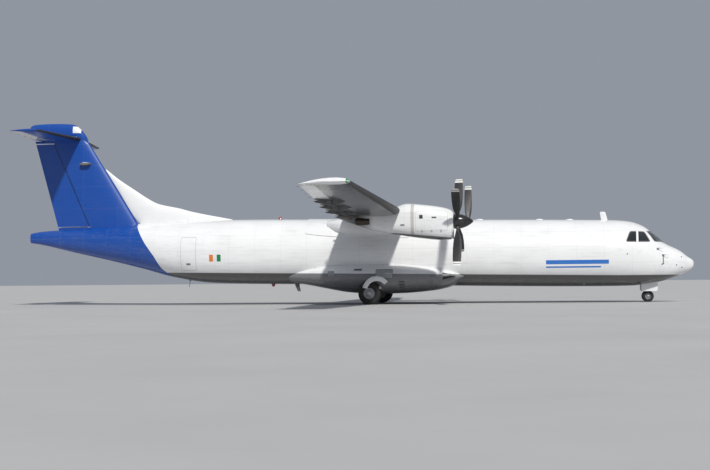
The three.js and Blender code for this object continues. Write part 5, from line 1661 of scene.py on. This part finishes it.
def add_fairing_details():
    for side, sign in SIDES:
        beside = side_points(GEAR_FAIRING_SKIN, sign)
        bm, fender = bmesh.new(), bmesh.new()
        for outline, kind, rise in FAIRING_PANELS:
            add_laid(bm, flat_sheet(outline), beside, rise, kind=kind)
            add_laid(bm, flat_band(outline, 0.016), beside, rise + 0.001, kind=2)
        for level in LOUVRES["heights"]:
            slat = [skin_point(beside, (s, level), 0.005) for s in LOUVRES["ends"]]
            add_tube(bm, slat, LOUVRES["radius"], 8, 2)
        piece_from("gear_fairing_panels_" + side, bm, "airframe", "black_composite", OPENING_SHADE_BLACK, PANEL_GREY,
                   SEAL_GREY, angle=40)
        station, height = FENDER_CENTRE
        section = [(radius, sign * across) for radius, across in FENDER_SECTION]
        add_sector(fender, section, place(station, 0, height), *FENDER_ANGLES, 40)
        for along in FENDER_STRUTS:
            out, up = STRUT_FOOT
            strut = [place(station - along, sign * (out - way), height + up + rise)
                     for way, rise in STRUT_WAY]
            add_tube(fender, strut, STRUT_RADII, 14, 1)
        piece_from("wheel_fender_" + side, fender, "airframe", "white_composite", PLAIN_WHITE, STEEL,
                   angle=30)


def add_nacelle_details():
    for side, sign in SIDES:
        skin = NACELLE_SKINS[sign]
        bm, lip, pipe = bmesh.new(), bmesh.new(), bmesh.new()
        for out in (1, -1):
            beside = side_points(skin, out)
            for outline, kind in NACELLE_VENTS:
                add_laid(bm, flat_sheet(outline), beside, 0.002, kind=kind)
                add_laid(bm, flat_band(outline, 0.014), beside, 0.003, kind=2)
            add_laid(bm, flat_band(rounded_outline(COWL_DOOR, 0.08), 0.008), beside, 0.0012, kind=2)
            for station in COWL_CATCHES:
                catch = box_outline(station - 0.03, station + 0.03, 2.7, 2.78)
                add_laid(bm, flat_sheet(catch), beside, 0.003, kind=3)
        piece_from("nacelle_vents_" + side, bm, "airframe", "black_composite", OPENING_SHADE_BLACK, SEAL_GREY,
                   PANEL_GREY, STEEL, angle=40)
        corners = box_outline(-INTAKE["half"], INTAKE["half"], INTAKE["bottom"], INTAKE["top"])
        outline = rounded_outline(corners, LIP["corner"], 6)
        path = [place(INTAKE["from"] + LIP["aft"], skin.y + p.x, p.y) for p in outline]
        add_tube(lip, [*path, path[0], path[1]], LIP["radius"], 12)
        piece_from("intake_lip_" + side, lip, "airframe", "engine_metal", BLADE_METAL, angle=50)
        centre = place(EXHAUST["to"], sign * (NACELLE_Y + EXHAUST["offset"]), EXHAUST["z"])
        add_spun(pipe, PIPE, centre, -ALONG, 48, kinds=PIPE_PARTS)
        piece_from("exhaust_pipe_" + side, pipe, "airframe", "engine_metal", EXHAUST_METAL, OPENING_SHADE_BLACK,
                   angle=35)


# Engine: radius and station of the casing's outline, height of its axis, and the pipes along it
ENGINE_CASE = ((0.0, 9.4), (0.13, 9.4), (0.15, 9.5), (0.24, 9.56), (0.25, 9.9), (0.27, 9.92), (0.27, 9.96),
               (0.25, 9.98), (0.26, 10.3), (0.29, 10.34), (0.29, 10.4), (0.25, 10.42), (0.22, 10.75),
               (0.17, 11.0), (0.0, 11.02))
ENGINE_Z = 3.06
ENGINE_PIPES = {"number": 6, "first": 0.3, "stations": (9.7, 10.0, 10.3), "out": 0.27, "radius": 0.012}


def add_engines():
    for side, sign in SIDES:
        bm = bmesh.new()
        add_spun(bm, ENGINE_CASE, place(0, sign * NACELLE_Y, ENGINE_Z), -ALONG, 40)
        for angle in circle(ENGINE_PIPES["number"], ENGINE_PIPES["first"]):
            out = Vector((0, math.cos(angle), math.sin(angle))) * ENGINE_PIPES["out"]
            run = [place(s, sign * NACELLE_Y, ENGINE_Z) + out for s in ENGINE_PIPES["stations"]]
            add_tube(bm, run, ENGINE_PIPES["radius"], 10, 1)
        piece_from("engine_case_" + side, bm, "airframe", "engine_metal", DARK_METAL, STEEL, angle=35,
                   replaces=["engine_" + side])


# Door trim, wicks and hold rollers

# Node, side, and its box of stations and heights
DOORS = (
    ("cargo_door", 1, (3.9, 6.84, 1.14, 2.938)),
    ("passenger_door", 1, (19.62, 20.44, 1.384, 3.04)),
    ("service_door", -1, (19.69, 20.38, 1.385, 2.763)),
)
TRIM_INSET = 0.026
TRIM_SINK = 0.003
# Handle: height as a share of the door's, half sizes of its plate; the bar's points along and off the skin
HANDLE = {"share": 0.2, "half_long": 0.09, "half_high": 0.035, "corner": 0.02, "radius": 0.008}
HANDLE_BAR = ((-0.075, 0.0), (-0.07, 0.014), (0.07, 0.014), (0.075, 0.0))


def add_door_trim():
    for node, sign, (low_s, high_s, low_z, high_z) in DOORS:
        beside = side_points(BODY_SKIN, sign)
        bm = bmesh.new()
        box = box_outline(low_s + TRIM_INSET, high_s - TRIM_INSET, low_z + TRIM_INSET, high_z - TRIM_INSET)
        add_laid(bm, flat_band(rounded_outline(box, 0.04), 0.02), beside, 0.0015, TRIM_SINK)
        along, up = (low_s + high_s) / 2, low_z + HANDLE["share"] * (high_z - low_z)
        plate = box_outline(along - HANDLE["half_long"], along + HANDLE["half_long"],
                            up - HANDLE["half_high"], up + HANDLE["half_high"])
        add_laid(bm, flat_sheet(rounded_outline(plate, HANDLE["corner"])), beside, 0.002, TRIM_SINK, kind=1)
        bar = [skin_point(beside, (along + shift, up), lift) for shift, lift in HANDLE_BAR]
        add_tube(bm, bar, HANDLE["radius"], 12, 2)
        piece_from("door_trim_" + node, bm, BODY_OF[node], "black_composite", TRIM_GREY, SEAL_GREY, STEEL,
                   angle=40)


# Outline by station and height, and half the strip's thickness
RUDDER_SEAL = [(24.7, 3.19), (25.88, 3.19), (25.86, 3.276), (24.7, 3.276)]
SEAL_HALF = 0.014


def add_rudder_seal():
    """A strip that stands in the gap under the rudder."""
    bm = bmesh.new()
    add_strips(bm, [[place(s, y, z) for s, z in RUDDER_SEAL] for y in (-SEAL_HALF, SEAL_HALF)])
    piece_from("rudder_seal", bm, "airframe", "blue_alloy", BLUE_PAINT, angle=30)


# Wicks: node, axis of its span, and the share of the span that is left free
WICKS = (("aileron_left", 1, 0.15), ("aileron_right", 1, 0.15), ("elevator_left", 1, 0.3),
         ("elevator_right", 1, 0.3), ("rudder", 2, 0.4))
WICK = {"count": 4, "length": 0.11, "into": 0.006, "foot": 0.005, "tip": 0.002}
def trailing_point(node, axis, share):
    """A point of a control surface's trailing edge, by its share of the span."""
    points = [vert.co for vert in frame["nodes"][node].data.vertices]
    values = [point[axis] for point in points]
    ends = []
    for wanted in (min(values), max(values)):
        near = [point for point in points if abs(point[axis] - wanted) < 0.02]
        ends.append(min(near, key=lambda point: point.x))
    return ends[0].lerp(ends[1], share)


def add_wicks():
    aft = ALONG * (WICK["into"] - WICK["length"] / 2)
    for node, axis, margin in WICKS:
        start, end = (trailing_point(node, axis, share) + aft for share in (margin / 2, 1 - margin / 2))
        mesh = repeated(ROD_ROW, HOSE_BLACK, count=WICK["count"], start=start, end=end,
                        turn=(0, -math.pi / 2, 0), foot=WICK["foot"], tip=WICK["tip"],
                        length=WICK["length"])
        piece_of_meshes("wicks_" + node, [mesh], BODY_OF[node], "black_composite", HOSE_BLACK)


# Distances out of the rows, and their first and last station
ROLLER_ROWS = (-0.72, -0.3, 0.3, 0.72)
ROLLER_RUN = (3.7, 18.4)
ROLLER = {"count": 96, "radius": 0.02, "length": 0.09, "lower": 0.012}


def add_rollers():
    meshes = []
    for y in ROLLER_ROWS:
        start, end = (place(s, y, floor_height(s) - ROLLER["lower"]) for s in ROLLER_RUN)
        meshes.append(repeated(ROD_ROW, STEEL, count=ROLLER["count"], start=start, end=end,
                               turn=(math.pi / 2, 0, 0), foot=ROLLER["radius"], tip=ROLLER["radius"],
                               length=ROLLER["length"]))
    piece_of_meshes("hold_rollers", meshes, "airframe", "leg_steel", STEEL)


# Floor, lights and camera

GROUND_SIZE = 400
GROUND_GREYS = (colour(0.46, 0.46, 0.465), colour(0.52, 0.52, 0.52))
SKY = {"colour": colour(0.8, 0.87, 1.0), "strength": 0.35}
SUN = {"strength": 3.0, "width": 3, "colour": (1.0, 0.97, 0.92), "place": (8.5, -22.0, 25.0),
       "target": (0, 0, 2)}
LENS = {"lens": 65.37, "sensor_width": 36.0, "clip_end": 1000.0}
CAMERA_PLACE = (7.182, -51.986, 0.955)
# Yaw, pitch and roll in radians. At no yaw the camera looks along +Y
CAMERA_TURN = (-0.134, 0.035, -0.009)


def add_floor():
    bm = bmesh.new()
    bmesh.ops.create_grid(bm, x_segments=1, y_segments=1, size=GROUND_SIZE)
    mesh = mesh_of(bm, "floor")
    floor = new_object("floor", mesh)
    material, tree, shader, position = new_material("pale_floor")
    cloud = ramp(tree, noise(tree, position, 0.25, 5.0, 0.6), 0.3, 0.8)
    feed(tree, shader, {"Base Color": mixed(tree, cloud, *GROUND_GREYS), "Roughness": 0.9})
    mesh.materials.append(material)


def add_lights():
    world = bpy.data.worlds.new("studio")
    world.use_nodes = True
    background = world.node_tree.nodes["Background"].inputs
    background["Color"].default_value = SKY["colour"]
    background["Strength"].default_value = SKY["strength"]
    bpy.context.scene.world = world
    sun = bpy.data.lights.new("sun", "SUN")
    sun.energy = SUN["strength"]
    sun.angle = math.radians(SUN["width"])
    sun.color = SUN["colour"]
    lamp = new_object("sun", sun)
    lamp.location = SUN["place"]
    lamp.rotation_euler = (Vector(SUN["target"]) - lamp.location).to_track_quat("-Z", "Y").to_euler()
    bpy.context.scene.view_settings.view_transform = "Standard"


def add_camera():
    data = bpy.data.cameras.new("camera")
    for key, value in LENS.items():
        setattr(data, key, value)
    camera = new_object("camera", data)
    yaw, pitch, roll = CAMERA_TURN
    ahead = Vector((math.sin(yaw) * math.cos(pitch), math.cos(yaw) * math.cos(pitch), math.sin(pitch)))
    right = Vector((math.cos(yaw), -math.sin(yaw), 0.0))
    up = right.cross(ahead)
    turned_right = math.cos(roll) * right + math.sin(roll) * up
    turned_up = -math.sin(roll) * right + math.cos(roll) * up
    turn = Matrix((turned_right, turned_up, -ahead)).transposed()
    camera.matrix_world = Matrix.Translation(CAMERA_PLACE) @ turn.to_4x4()
    bpy.context.scene.camera = camera


dress_body()
dress_wing()
dress_tail()
dress_power()
dress_gear()
add_propellers()
add_wheels()
add_main_legs()
add_nose_gear()
add_windows()
add_nose_sensors()
add_aerials()
add_fairing_details()
add_nacelle_details()
add_door_trim()
add_wicks()
add_rollers()
add_engines()
add_rudder_seal()
add_floor()
add_lights()
add_camera()
